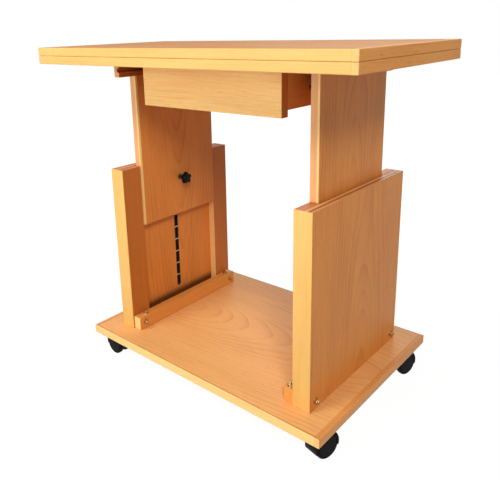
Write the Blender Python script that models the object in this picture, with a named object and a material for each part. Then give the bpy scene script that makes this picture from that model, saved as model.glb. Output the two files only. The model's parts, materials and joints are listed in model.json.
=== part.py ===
"""Art table on castors: two slotted supports carry a height-adjustable frame with a folding top.

Units are metres. X runs across the table, -Y is its front and +Z is up. The origin lies on the
floor, under the middle of the table's bounding box. Every part is built about the middle of the
base board first, and the whole table is shifted along Y at the end.
"""

import math

import bmesh
import bpy
from mathutils import Matrix, Vector

MM = 0.001

# Clearances
SEAT_GAP = 0.3 * MM  # between parts that are glued, screwed or resting on each other
SLIDE_GAP = 0.5 * MM  # on each side of a sliding wooden part
TURN_GAP = 0.2 * MM  # radial, around a pin that another part turns on

# Wood stock
BOARD = 18 * MM
LEAF = 16 * MM
DRAWER_STOCK = 12 * MM
DRAWER_FLOOR = 4 * MM
EDGE_EASE = 1.2 * MM

# Base
BASE_WIDTH = 600 * MM
BASE_DEPTH = 420 * MM

# Supports: an outer board and two posts that leave a channel for the sliding panel
SUPPORT_INSET = 48 * MM  # outer face in from the end of the base board
SUPPORT_DEPTH = 327.6 * MM
SUPPORT_ABOVE_SLOT = 30 * MM
RAIL_WIDTH = 20 * MM
RAIL_HEIGHT = 30 * MM
RAIL_SETBACK = 1.8 * MM  # in from the edges of the outer board
BOLT_RADIUS = 3 * MM
BOLT_TIP = 2.5 * MM  # bolt beyond each nut
WASHER_RADIUS = 6.5 * MM
WASHER = 1 * MM
NUT_RADIUS = 5.7 * MM  # over the corners
NUT = 5 * MM
BOLT_INSET = 17.8 * MM  # in from the edges of the outer board
BOLT_Z = 17 * MM  # above the base board

# Index strips: blind pockets with thin rungs between them
SLOT_WIDTH = 12 * MM
SLOT_DEPTH = 9 * MM
SLOT_LOW = 40 * MM  # above the base board
SLOT_END = 21 * MM  # from the middle of the highest rung to the end of the slot
RUNG = 2 * MM
RUNG_PITCH = 31 * MM
RUNG_COUNT = 9
FIRST_RUNG = 69 * MM  # middle of the lowest rung, above the base board
STRIP_WALL = 1.8 * MM  # on each side of a pocket, with the strip's own clearance
STRIP_SINK = 0.5 * MM  # strip below the face of the outer board

# Sliding panels and clamps
PANEL_DEPTH = 228.8 * MM
PANEL_PROUD = 2.5 * MM  # panel beyond the inner faces of the posts
PANEL_BELOW_STUD = 87.7 * MM
PANEL_ABOVE_STUD = 268.4 * MM
STUD_RADIUS = 3 * MM
STUD_BACKED_OFF = 1.3 * MM  # tip to index strip with the knob slackened
CLAMP_TRAVEL = 7 * MM  # from slackened to screwed in
INSERT_RADIUS = 5 * MM
INSERT_LENGTH = 15 * MM
INSERT_FLANGE_RADIUS = 7 * MM
INSERT_FLANGE = 1 * MM
KNOB_STAND_OFF = 9 * MM  # bare stud between panel and hub with the knob slackened
KNOB_HUB_RADIUS = 6.5 * MM
KNOB_HUB = 7 * MM
KNOB_STAR = 9 * MM
KNOB_RADIUS = 14 * MM
KNOB_LOBE = 3.6 * MM  # depth of the hollows between lobes
KNOB_LOBES = 5
KNOB_BORE = 11 * MM

# Folding top
TOP_WIDTH = 726 * MM
TOP_FRONT = 240.5 * MM  # from the middle of the base
TOP_BACK = 112 * MM
HINGE_INSET = 93 * MM  # middle of a hinge in from the end of the top
HINGE_LENGTH = 50 * MM
HINGE_FLAP = 20 * MM
HINGE_PLATE = 1.2 * MM
HINGE_KNUCKLE = 3 * MM
HINGE_PIN = 1.5 * MM
HINGE_PARTS = 5
HINGE_OFFSET = 0.3 * MM  # axis behind the back edges of the leaves

# Leaf support bars
BAR_WIDTH = 15 * MM
BAR_HEIGHT = 28 * MM
BAR_LENGTH = 280 * MM
BAR_OUT_LEFT = 0 * MM  # how far each bar is drawn out to the back at rest
BAR_OUT_RIGHT = 67 * MM
BAR_GROOVE = 6 * MM

# Drawer and its runners
DRAWER_FACE = 130.8 * MM  # front face, from the middle of the base
DRAWER_HEIGHT = 82.5 * MM
DRAWER_GRIP = 12 * MM  # front below the sides
DRAWER_HEADROOM = 2.5 * MM
DRAWER_BACK = 100 * MM
DRAWER_SIDE_INSET = 0.9 * MM
DRAWER_FLOOR_RISE = 6 * MM  # floor above the lower edges of the sides
DRAWER_FLOOR_TONGUE = 4 * MM
RUNNER_FRONT = 45 * MM  # front end, in front of the middle of the base
RUNNER_BACK = 105 * MM
RUNNER_WIDTH = 28.3 * MM
RUNNER_HEIGHT = 48.7 * MM
RUNNER_SIDE_GAP = 0.7 * MM
GROOVE_HEIGHT = 8 * MM
DRAWER_GROOVE_RISE = 8 * MM  # middle of the groove above the lower edge of the runner
DRAWER_GROOVE = 6.5 * MM
GROOVE_STOP = 3 * MM  # end of the drawer's groove in front of the runner

# Castors
CASTOR_END_INSET = 34 * MM  # kingpin in from the end of the base board
CASTOR_EDGE_INSET = 48 * MM  # kingpin in from the front or back edge
CASTOR_TRAIL = 13 * MM
CASTOR_YAW = {"front_right": -14, "back_right": -14, "front_left": 86, "back_left": 30}
WHEEL_RADIUS = 25 * MM
WHEEL_WIDTH = 11.7 * MM
WHEEL_GAP = 0.8 * MM
AXLE_RADIUS = 3 * MM
WEB = 7 * MM
FENDER = 1.7 * MM
FENDER_BELOW_AXLE = 8 * MM
PLATE = 2.5 * MM
PLATE_SIZE = 42 * MM
PLATE_CORNER = 5 * MM
KINGPIN_RADIUS = 4 * MM
KINGPIN = 8 * MM
NECK_RADIUS = 12 * MM
NECK_RISE = 8.4 * MM  # above the top of the hood

# Values that follow from the sizes above
HOOD_RADIUS = WHEEL_RADIUS + WHEEL_GAP + FENDER
CASTOR_HEIGHT = WHEEL_RADIUS + HOOD_RADIUS + NECK_RISE + PLATE + 2 * SEAT_GAP
CASTOR_X = BASE_WIDTH / 2 - CASTOR_END_INSET
CASTOR_Y = BASE_DEPTH / 2 - CASTOR_EDGE_INSET
BASE_TOP = CASTOR_HEIGHT + BOARD
CENTRE_Y = (TOP_FRONT - BASE_DEPTH / 2) / 2
SLOT_HIGH = FIRST_RUNG + (RUNG_COUNT - 1) * RUNG_PITCH + SLOT_END
POCKET_WIDTH = SLOT_WIDTH - 2 * STRIP_WALL
SUPPORT_HEIGHT = SLOT_HIGH + SUPPORT_ABOVE_SLOT
SUPPORT_OUTER = BASE_WIDTH / 2 - SUPPORT_INSET
RAIL_LENGTH = SUPPORT_DEPTH - 2 * RAIL_SETBACK
BOLT_Y = SUPPORT_DEPTH / 2 - BOLT_INSET
OUTER_BOARD_INNER = SUPPORT_OUTER - BOARD
POST_OUTER = OUTER_BOARD_INNER - SEAT_GAP
POST_INNER = POST_OUTER - BOARD
RAIL_OUTER = POST_INNER - SEAT_GAP
RAIL_INNER = RAIL_OUTER - RAIL_WIDTH
PANEL_INNER = POST_INNER - PANEL_PROUD
PANEL_OUTER = PANEL_INNER + BOARD
POCKET_DEPTH = CLAMP_TRAVEL - STUD_BACKED_OFF + SEAT_GAP
STUD_Z = BASE_TOP + SLOT_HIGH - SLOT_END + RUNG / 2 + STUD_RADIUS + SEAT_GAP
PANEL_HIGH = STUD_Z + PANEL_ABOVE_STUD
TOP_UNDER = PANEL_HIGH + SEAT_GAP
SEAM = TOP_UNDER + LEAF + SEAT_GAP / 2
HINGE_X = TOP_WIDTH / 2 - HINGE_INSET
BAR_OUTER = PANEL_INNER - SLIDE_GAP
BAR_INNER = BAR_OUTER - BAR_WIDTH
BAR_LOW = TOP_UNDER - SLIDE_GAP - BAR_HEIGHT
BAR_GROOVE_Z = BAR_LOW + BAR_HEIGHT / 2
RUNNER_OUTER = BAR_INNER - RUNNER_SIDE_GAP
RUNNER_INNER = RUNNER_OUTER - RUNNER_WIDTH
RUNNER_LOW = PANEL_HIGH - RUNNER_HEIGHT
DRAWER_GROOVE_Z = RUNNER_LOW + DRAWER_GROOVE_RISE
DRAWER_SIDE = RUNNER_INNER - RUNNER_SIDE_GAP
DRAWER_HALF = DRAWER_SIDE + DRAWER_SIDE_INSET
FRONT_BACK_Y = -DRAWER_FACE + BOARD

FINISHES = {
    "veneered_board": ((0.78, 0.47, 0.22), 0.42, 0.0),
    "solid_wood": ((0.82, 0.53, 0.26), 0.48, 0.0),
    "black_plastic": ((0.018, 0.018, 0.02), 0.38, 0.0),
    "black_tread": ((0.03, 0.03, 0.032), 0.55, 0.0),
    "plated_steel": ((0.66, 0.64, 0.6), 0.3, 1.0),
    "brass": ((0.72, 0.52, 0.22), 0.32, 1.0),
}


def clear_scene():
    """Removes every object of the startup scene."""
    for obj in list(bpy.data.objects):
        bpy.data.objects.remove(obj, do_unlink=True)


def make_materials():
    """Makes one Principled material for each finish."""
    made = {}
    for name, (colour, roughness, metallic) in FINISHES.items():
        material = bpy.data.materials.new(name)
        material.use_nodes = True
        shader = material.node_tree.nodes["Principled BSDF"]
        shader.inputs["Base Color"].default_value = (*colour, 1.0)
        shader.inputs["Roughness"].default_value = roughness
        shader.inputs["Metallic"].default_value = metallic
        made[name] = material
    return made


def finish_object(name, shape, finish=None, smooth=False):
    """Turns a bmesh into a linked object with outward normals."""
    bmesh.ops.recalc_face_normals(shape, faces=shape.faces)
    mesh = bpy.data.meshes.new(name)
    shape.to_mesh(mesh)
    shape.free()
    if finish:
        mesh.materials.append(MATERIALS[finish])
    if smooth:
        mesh.shade_smooth()
        mesh.set_sharp_from_angle(angle=math.radians(35))
    obj = bpy.data.objects.new(name, mesh)
    bpy.context.scene.collection.objects.link(obj)
    return obj


def span(side, near, far):
    """Sorted X limits between two distances from the middle plane, on the left (-1) or right (1)."""
    return tuple(sorted((side * near, side * far)))


def add_box(shape, x, y, z):
    """Adds a box between pairs of limits to a bmesh."""
    corners = [(a, b, c) for c in z for b in y for a in x]
    points = [shape.verts.new(corner) for corner in corners]
    for face in ((0, 1, 3, 2), (4, 5, 7, 6), (0, 1, 5, 4), (2, 3, 7, 6), (0, 2, 6, 4), (1, 3, 7, 5)):
        shape.faces.new([points[i] for i in face])


def box(name, x, y, z, finish=None, ease=0.0):
    """A box with its edges rounded over by the width ease."""
    shape = bmesh.new()
    add_box(shape, x, y, z)
    if ease:
        bmesh.ops.recalc_face_normals(shape, faces=shape.faces)
        bmesh.ops.bevel(
            shape,
            geom=shape.edges[:],
            offset=ease,
            segments=2,
            profile=0.5,
            affect="EDGES",
        )
    return finish_object(name, shape, finish)


def boxes(name, limits):
    """A cutter made of several boxes that don't touch."""
    shape = bmesh.new()
    for x, y, z in limits:
        add_box(shape, x, y, z)
    return finish_object(name, shape)


def prism(name, outline, axis, low, high, finish=None):
    """A flat outline pushed along one axis. The outline holds the other two axes in X, Y, Z order."""
    place = {
        "X": lambda u, v, w: (w, u, v),
        "Y": lambda u, v, w: (u, w, v),
        "Z": lambda u, v, w: (u, v, w),
    }[axis]
    shape = bmesh.new()
    ends = [[shape.verts.new(place(u, v, w)) for u, v in outline] for w in (low, high)]
    bridge(shape, *ends)
    for end in ends:
        shape.faces.new(end)
    return finish_object(name, shape, finish)


def bridge(shape, first, second):
    """Joins two rings of points, either of which may be a single point."""
    count = max(len(first), len(second))
    for i in range(count):
        j = (i + 1) % count
        loop = [first[i % len(first)], first[j % len(first)]]
        loop += [second[j % len(second)], second[i % len(second)]]
        shape.faces.new(list(dict.fromkeys(loop)))


def stack(name, rings, frame, closed, finish=None):
    """Joins a row of rings into one solid. A closed row returns to its first ring."""
    shape = bmesh.new()
    rows = [[shape.verts.new(frame @ Vector(point)) for point in ring] for ring in rings]
    for first, second in zip(rows, rows[1:]):
        bridge(shape, first, second)
    if closed:
        bridge(shape, rows[-1], rows[0])
    return finish_object(name, shape, finish, smooth=True)


def ring(radius, height, segments, wave=0.0, lobes=0, flats=0):
    """Points round the Z axis, or one point where the radius is zero.

    A wave makes lobes, and flats cut the ring to a regular polygon.
    """
    if radius == 0:
        return [(0, 0, height)]
    points = []
    for i in range(segments):
        turn = 2 * math.pi * i / segments
        reach = radius + wave * (math.cos(lobes * turn) - 1)
        if flats:
            half = math.pi / flats
            reach *= math.cos(half) / math.cos(turn % (2 * half) - half)
        points.append((reach * math.cos(turn), reach * math.sin(turn), height))
    return points


def turned(name, profile, frame, segments, finish=None):
    """A turned solid. The profile lists radius and height, and meets the axis at both ends or closes."""
    rings = [ring(radius, height, segments) for radius, height in profile]
    return stack(name, rings, frame, closed=profile[0][0] > 0, finish=finish)


def rod(name, radius, start, end, segments=16, finish=None):
    """A plain cylinder between two points."""
    length = (Vector(end) - Vector(start)).length
    profile = [(0, 0), (radius, 0), (radius, length), (0, length)]
    return turned(name, profile, frame_along(start, end), segments, finish)


def frame_along(start, end):
    """A frame at start with its Z axis towards end."""
    direction = Vector(end) - Vector(start)
    turn = Vector((0, 0, 1)).rotation_difference(direction)
    return Matrix.Translation(start) @ turn.to_matrix().to_4x4()


def across(side, distance, y, z):
    """A frame on one side of the table with its Z axis pointing outwards along X."""
    return frame_along((side * distance, y, z), (side * (distance + 1), y, z))


def combine(target, operation, *others):
    """Applies a Boolean with each of the other objects in turn, and removes those objects."""
    for other in others:
        modifier = target.modifiers.new(operation.lower(), "BOOLEAN")
        modifier.operation = operation
        modifier.solver = "EXACT"
        modifier.object = other
    bpy.context.view_layer.update()
    graph = bpy.context.evaluated_depsgraph_get()
    mesh = bpy.data.meshes.new_from_object(target.evaluated_get(graph))
    target.modifiers.clear()
    target.data = mesh
    for other in others:
        bpy.data.objects.remove(other, do_unlink=True)
    return target


def cut(target, *cutters):
    """Takes the cutters out of the target."""
    return combine(target, "DIFFERENCE", *cutters)


def join(target, *others):
    """Adds the other solids to the target."""
    return combine(target, "UNION", *others)


def pivot_on(obj, point):
    """Moves the origin of an object onto its joint without moving its shape."""
    obj.data.transform(Matrix.Translation(-Vector(point)))
    obj.location = point


def stadium(width, low, high, steps=8):
    """Outline of an upright slot with round ends, as pairs of Y and Z."""
    radius = width / 2
    turns = [math.pi * i / steps for i in range(steps + 1)]
    upper = [(radius * math.cos(t), high - radius + radius * math.sin(t)) for t in turns]
    lower = [(-radius * math.cos(t), low + radius - radius * math.sin(t)) for t in turns]
    return upper + lower


def build_base():
    """The base board that everything stands on."""
    half = BASE_WIDTH / 2
    depth = BASE_DEPTH / 2
    box("base_board", (-half, half), (-depth, depth), (CASTOR_HEIGHT, BASE_TOP), "veneered_board", EDGE_EASE)


def bolt_hole(side, end):
    """Cutter for the hole that a cross bolt passes through."""
    y = end * BOLT_Y
    z = BASE_TOP + BOLT_Z
    radius = BOLT_RADIUS + SEAT_GAP
    return rod("hole", radius, (side * (RAIL_INNER - BOARD), y, z), (side * (SUPPORT_OUTER + BOARD), y, z))


def build_support(side, name):
    """One support: outer board, index strip, two posts, the rail at its foot and its cross bolts."""
    foot = BASE_TOP + SEAT_GAP
    top = BASE_TOP + SUPPORT_HEIGHT
    depth = SUPPORT_DEPTH / 2
    board = box(
        f"{name}_outer_board",
        span(side, OUTER_BOARD_INNER, SUPPORT_OUTER),
        (-depth, depth),
        (foot, top),
        "veneered_board",
        EDGE_EASE,
    )
    slot = prism(
        "slot",
        stadium(SLOT_WIDTH, BASE_TOP + SLOT_LOW, BASE_TOP + SLOT_HIGH),
        "X",
        *span(side, OUTER_BOARD_INNER - BOARD, OUTER_BOARD_INNER + SLOT_DEPTH),
    )
    cut(board, slot, bolt_hole(side, -1), bolt_hole(side, 1))
    channel = PANEL_DEPTH / 2 + SLIDE_GAP
    for end, place in ((-1, "front"), (1, "rear")):
        post = box(
            f"{name}_{place}_post",
            span(side, POST_INNER, POST_OUTER),
            span(end, channel, depth),
            (foot, top),
            "veneered_board",
            EDGE_EASE,
        )
        cut(post, bolt_hole(side, end))
        build_cross_bolt(side, end, f"{name}_{place}_cross_bolt")
    rail = box(
        f"{name}_base_rail",
        span(side, RAIL_INNER, RAIL_OUTER),
        (-RAIL_LENGTH / 2, RAIL_LENGTH / 2),
        (foot, BASE_TOP + RAIL_HEIGHT),
        "solid_wood",
        EDGE_EASE,
    )
    cut(rail, bolt_hole(side, -1), bolt_hole(side, 1))
    build_index_strip(side, f"{name}_index_strip")


def build_cross_bolt(side, end, name):
    """A bolt through outer board, post and rail, with a washer and a nut on each end."""
    segments = 18
    inner = nut_rings(RAIL_INNER - SEAT_GAP, -1, segments)
    outer = nut_rings(SUPPORT_OUTER + SEAT_GAP, 1, segments)
    axis = across(side, 0, end * BOLT_Y, BASE_TOP + BOLT_Z)
    stack(name, inner[::-1] + outer, axis, closed=False, finish="plated_steel")


def nut_rings(seat, outward, segments):
    """Rings of a washer, a nut and a bolt tip that stand on a seat, from the shank outwards."""
    washer = seat + outward * WASHER
    nut = washer + outward * NUT
    tip = nut + outward * BOLT_TIP
    return [
        ring(BOLT_RADIUS, seat, segments),
        ring(WASHER_RADIUS, seat, segments),
        ring(WASHER_RADIUS, washer, segments),
        ring(NUT_RADIUS, washer, segments, flats=6),
        ring(NUT_RADIUS, nut, segments, flats=6),
        ring(BOLT_RADIUS, nut, segments),
        ring(BOLT_RADIUS, tip, segments),
        ring(0, tip, segments),
    ]


def build_index_strip(side, name):
    """The strip in the slot of an outer board. The tip of the clamp stud enters one of its pockets."""
    face = OUTER_BOARD_INNER + STRIP_SINK
    low = BASE_TOP + SLOT_LOW + SEAT_GAP
    high = BASE_TOP + SLOT_HIGH - SEAT_GAP
    strip = prism(
        name,
        stadium(SLOT_WIDTH - 2 * SEAT_GAP, low, high),
        "X",
        *span(side, face, OUTER_BOARD_INNER + SLOT_DEPTH - SEAT_GAP),
        finish="plated_steel",
    )
    rungs = [BASE_TOP + FIRST_RUNG + i * RUNG_PITCH for i in range(RUNG_COUNT)]
    floors = [low + SLOT_WIDTH / 2] + [rung + RUNG / 2 for rung in rungs]
    roofs = [rung - RUNG / 2 for rung in rungs] + [high - SLOT_WIDTH / 2]
    x = span(side, face - BOARD, face + POCKET_DEPTH)
    y = (-POCKET_WIDTH / 2, POCKET_WIDTH / 2)
    cut(strip, boxes("pockets", [(x, y, z) for z in zip(floors, roofs)]))


def build_sliding_panel(side, name):
    """The panel that slides in the channel of a support, with its threaded insert."""
    half = PANEL_DEPTH / 2
    panel = box(
        f"{name}_sliding_panel",
        span(side, PANEL_INNER, PANEL_OUTER),
        (-half, half),
        (STUD_Z - PANEL_BELOW_STUD, PANEL_HIGH),
        "veneered_board",
        EDGE_EASE,
    )
    reach = (side * (PANEL_INNER - BOARD), 0, STUD_Z), (side * (PANEL_OUTER + BOARD), 0, STUD_Z)
    cut(panel, rod("hole", INSERT_RADIUS + SEAT_GAP, *reach))
    bore = STUD_RADIUS + TURN_GAP
    profile = [
        (bore, -INSERT_FLANGE - SEAT_GAP),
        (bore, INSERT_LENGTH),
        (INSERT_RADIUS, INSERT_LENGTH),
        (INSERT_RADIUS, -SEAT_GAP),
        (INSERT_FLANGE_RADIUS, -SEAT_GAP),
        (INSERT_FLANGE_RADIUS, -INSERT_FLANGE - SEAT_GAP),
    ]
    turned(f"{name}_threaded_insert", profile, across(side, PANEL_INNER, 0, STUD_Z), 18, "brass")


def build_clamp(side, name):
    """The clamp stud and star knob of one panel, slackened so that the stud is clear of the strip."""
    tip = OUTER_BOARD_INNER + STRIP_SINK - STUD_BACKED_OFF
    hub = PANEL_INNER - KNOB_STAND_OFF
    stud_end = hub - KNOB_BORE + SEAT_GAP
    lead = STUD_RADIUS / 3
    profile = [
        (0, stud_end),
        (STUD_RADIUS, stud_end),
        (STUD_RADIUS, tip - lead),
        (STUD_RADIUS - lead, tip),
        (0, tip),
    ]
    axis = across(side, 0, 0, STUD_Z)
    stud = turned(f"{name}_clamp_stud", profile, axis, 16, "plated_steel")
    bore = STUD_RADIUS + TURN_GAP
    star = hub - KNOB_HUB
    crown = star - KNOB_STAR
    ease = KNOB_STAR / 6
    inner = KNOB_RADIUS - ease
    wave = KNOB_LOBE / 2
    segments = 6 * KNOB_LOBES
    rings = [
        ring(0, hub - KNOB_BORE, segments),
        ring(bore, hub - KNOB_BORE, segments),
        ring(bore, hub, segments),
        ring(KNOB_HUB_RADIUS, hub, segments),
        ring(KNOB_HUB_RADIUS, star, segments),
        ring(inner, star, segments, wave, KNOB_LOBES),
        ring(KNOB_RADIUS, star - ease, segments, wave, KNOB_LOBES),
        ring(KNOB_RADIUS, crown + ease, segments, wave, KNOB_LOBES),
        ring(inner, crown, segments, wave, KNOB_LOBES),
        ring(0, crown, segments),
    ]
    knob = stack(f"{name}_star_knob", rings, axis, closed=False, finish="black_plastic")
    for obj in (stud, knob):
        pivot_on(obj, (side * hub, 0, STUD_Z))


def hinge_cutter(side, upward):
    """Cutter for the flap recess and the knuckle notch of one hinge in one leaf."""
    half = HINGE_LENGTH / 2 + SEAT_GAP
    x = (side * HINGE_X - half, side * HINGE_X + half)
    axis_y = TOP_BACK + HINGE_OFFSET
    face = SEAM + upward * SEAT_GAP / 2
    recess = HINGE_PLATE + SEAT_GAP
    reach = HINGE_KNUCKLE + SEAT_GAP
    flap = (x, (axis_y - HINGE_FLAP - SEAT_GAP, axis_y - reach), upward_span(face, upward, recess))
    notch = (x, (axis_y - reach - EDGE_EASE, TOP_BACK + BOARD), upward_span(face, upward, reach))
    return boxes("recess", [flap]), boxes("notch", [notch])


def upward_span(face, upward, depth):
    """Z limits of a cut that goes from just outside a leaf's face to a depth inside it."""
    return tuple(sorted((face - upward * SEAT_GAP, face + upward * depth)))


def build_top():
    """The two leaves of the folding top, with recesses for the hinges."""
    half = TOP_WIDTH / 2
    limits = ((-half, half), (-TOP_FRONT, TOP_BACK))
    low = TOP_UNDER
    lower = box("lower_leaf", *limits, (low, low + LEAF), "veneered_board", EDGE_EASE)
    cut(lower, *hinge_cutter(-1, -1), *hinge_cutter(1, -1))
    low = SEAM + SEAT_GAP / 2
    upper = box("upper_leaf", *limits, (low, low + LEAF), "veneered_board", EDGE_EASE)
    cut(upper, *hinge_cutter(-1, 1), *hinge_cutter(1, 1))
    pivot_on(upper, (0, TOP_BACK + HINGE_OFFSET, SEAM))


def build_hinge(side, name):
    """A flap hinge let into the seam: fixed flap, moving flap and pin."""
    axis_y = TOP_BACK + HINGE_OFFSET
    low = side * HINGE_X - HINGE_LENGTH / 2
    part = HINGE_LENGTH / HINGE_PARTS
    for kind, upward, first in (("fixed", -1, 0), ("moving", 1, 1)):
        inner = SEAM + upward * SEAT_GAP / 2
        z = tuple(sorted((inner, inner + upward * HINGE_PLATE)))
        flap = box(
            f"{name}_hinge_{kind}_flap",
            (low, low + HINGE_LENGTH),
            (axis_y - HINGE_FLAP, axis_y - HINGE_KNUCKLE - 2 * SEAT_GAP),
            z,
            "brass",
        )
        for i in range(first, HINGE_PARTS, 2):
            start = low + i * part + SEAT_GAP / 2
            end = low + (i + 1) * part - SEAT_GAP / 2
            tab = box("tab", (start, end), (axis_y - HINGE_FLAP / 2, axis_y), z)
            knuckle = rod("knuckle", HINGE_KNUCKLE, (start, axis_y, SEAM), (end, axis_y, SEAM))
            join(flap, tab, knuckle)
        bore = HINGE_PIN + TURN_GAP
        ends = (low - BOARD, axis_y, SEAM), (low + HINGE_LENGTH + BOARD, axis_y, SEAM)
        cut(flap, rod("bore", bore, *ends))
        pivot_on(flap, (side * HINGE_X, axis_y, SEAM))
    ends = (low + SEAT_GAP / 2, axis_y, SEAM), (low + HINGE_LENGTH - SEAT_GAP / 2, axis_y, SEAM)
    rod(f"{name}_hinge_pin", HINGE_PIN, *ends, 12, "plated_steel")


def build_bar(side, name, drawn_out):
    """A bar under the top that slides out to the back and carries the opened leaf."""
    back = TOP_BACK + drawn_out
    bar = box(
        f"{name}_leaf_support_bar",
        span(side, BAR_INNER, BAR_OUTER),
        (back - BAR_LENGTH, back),
        (BAR_LOW, BAR_LOW + BAR_HEIGHT),
        "solid_wood",
        EDGE_EASE,
    )
    groove = box(
        "groove",
        span(side, BAR_INNER - BAR_WIDTH, BAR_INNER + BAR_GROOVE),
        (back - BAR_LENGTH - BOARD, back + BOARD),
        (BAR_GROOVE_Z - GROOVE_HEIGHT / 2, BAR_GROOVE_Z + GROOVE_HEIGHT / 2),
    )
    cut(bar, groove)
    pivot_on(bar, (side * (BAR_INNER + BAR_OUTER) / 2, back, BAR_GROOVE_Z))


def build_runner(side, name):
    """The rail under the lower leaf whose two tongues guide the bar and the drawer."""
    tongue = GROOVE_HEIGHT / 2 - SLIDE_GAP
    out_x = BAR_INNER + BAR_GROOVE - SLIDE_GAP
    in_x = DRAWER_SIDE - DRAWER_GROOVE + SLIDE_GAP
    outline = [
        (RUNNER_INNER, RUNNER_LOW),
        (RUNNER_OUTER, RUNNER_LOW),
        (RUNNER_OUTER, BAR_GROOVE_Z - tongue),
        (out_x, BAR_GROOVE_Z - tongue),
        (out_x, BAR_GROOVE_Z + tongue),
        (RUNNER_OUTER, BAR_GROOVE_Z + tongue),
        (RUNNER_OUTER, PANEL_HIGH),
        (RUNNER_INNER, PANEL_HIGH),
        (RUNNER_INNER, DRAWER_GROOVE_Z + tongue),
        (in_x, DRAWER_GROOVE_Z + tongue),
        (in_x, DRAWER_GROOVE_Z - tongue),
        (RUNNER_INNER, DRAWER_GROOVE_Z - tongue),
    ]
    mirrored = [(side * x, z) for x, z in outline]
    prism(f"{name}_runner_rail", mirrored, "Y", -RUNNER_FRONT, RUNNER_BACK, "solid_wood")


def build_drawer():
    """The drawer: front, two grooved sides, back and floor."""
    high = TOP_UNDER - DRAWER_HEADROOM
    low = high - DRAWER_HEIGHT
    side_low = low + DRAWER_GRIP
    floor_low = side_low + DRAWER_FLOOR_RISE
    floor_high = floor_low + DRAWER_FLOOR
    side_inner = DRAWER_SIDE - DRAWER_STOCK
    start = FRONT_BACK_Y + SEAT_GAP
    front_y = (-DRAWER_FACE, FRONT_BACK_Y)
    front = box(
        "drawer_front", (-DRAWER_HALF, DRAWER_HALF), front_y, (low, high), "veneered_board", EDGE_EASE
    )
    parts = [front]
    for side, name in ((-1, "left"), (1, "right")):
        board = box(
            f"drawer_{name}_side",
            span(side, side_inner, DRAWER_SIDE),
            (start, DRAWER_BACK),
            (side_low, high),
            "solid_wood",
        )
        runner_groove = box(
            "groove",
            span(side, DRAWER_SIDE - DRAWER_GROOVE, DRAWER_SIDE + BOARD),
            (-RUNNER_FRONT - GROOVE_STOP, DRAWER_BACK + BOARD),
            (DRAWER_GROOVE_Z - GROOVE_HEIGHT / 2, DRAWER_GROOVE_Z + GROOVE_HEIGHT / 2),
        )
        floor_groove = box(
            "groove",
            span(side, side_inner - BOARD, side_inner + DRAWER_FLOOR_TONGUE + SEAT_GAP),
            (start - BOARD, DRAWER_BACK + BOARD),
            (floor_low - SEAT_GAP, floor_high + SEAT_GAP),
        )
        parts.append(cut(board, runner_groove, floor_groove))
    inner = side_inner - SEAT_GAP
    back_y = (DRAWER_BACK - DRAWER_STOCK, DRAWER_BACK)
    parts.append(box("drawer_back", (-inner, inner), back_y, (floor_high + SEAT_GAP, high), "solid_wood"))
    reach = side_inner + DRAWER_FLOOR_TONGUE
    floor_y = (start, DRAWER_BACK)
    parts.append(box("drawer_floor", (-reach, reach), floor_y, (floor_low, floor_high), "solid_wood"))
    for obj in parts:
        pivot_on(obj, (0, -DRAWER_FACE, DRAWER_GROOVE_Z))


def rounded_square(size, corner, steps=2):
    """Outline of a square with round corners."""
    reach = size / 2 - corner
    points = []
    for quarter, (sx, sy) in enumerate(((1, 1), (-1, 1), (-1, -1), (1, -1))):
        for i in range(steps + 1):
            turn = math.pi / 2 * (quarter + i / steps)
            points.append((sx * reach + corner * math.cos(turn), sy * reach + corner * math.sin(turn)))
    return points


def build_castor(name):
    """A hooded castor with two wheels, turned about its kingpin by its rest angle."""
    plate_high = CASTOR_HEIGHT - SEAT_GAP
    plate_low = plate_high - PLATE
    neck_high = plate_low - SEAT_GAP
    outline = rounded_square(PLATE_SIZE, PLATE_CORNER)
    plate = prism(f"{name}_castor_plate", outline, "Z", plate_low, plate_high, "plated_steel")
    join(plate, rod("kingpin", KINGPIN_RADIUS, (0, 0, plate_low - KINGPIN), (0, 0, plate_low + PLATE / 2)))
    hood = build_hood(f"{name}_castor_hood", neck_high)
    wheel_x = WEB / 2 + WHEEL_GAP
    centre = (0, CASTOR_TRAIL, WHEEL_RADIUS)
    axle_end = wheel_x + WHEEL_WIDTH * 0.7
    ends = (-axle_end, CASTOR_TRAIL, WHEEL_RADIUS), (axle_end, CASTOR_TRAIL, WHEEL_RADIUS)
    axle = rod(f"{name}_castor_axle", AXLE_RADIUS, *ends, finish="plated_steel")
    wheels = [
        build_wheel(side, f"{name}_castor_{place}_wheel", wheel_x)
        for side, place in ((-1, "left"), (1, "right"))
    ]
    x = CASTOR_X if name.endswith("right") else -CASTOR_X
    y = CASTOR_Y if name.startswith("back") else -CASTOR_Y
    for obj in (axle, *wheels):
        pivot_on(obj, centre)
    yaw = Matrix.Rotation(math.radians(CASTOR_YAW[name]), 4, "Z")
    for obj in (plate, hood, axle, *wheels):
        turn = Matrix() if obj is plate else yaw
        obj.matrix_world = Matrix.Translation((x, y, 0)) @ turn @ Matrix.Translation(obj.location)


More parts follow.
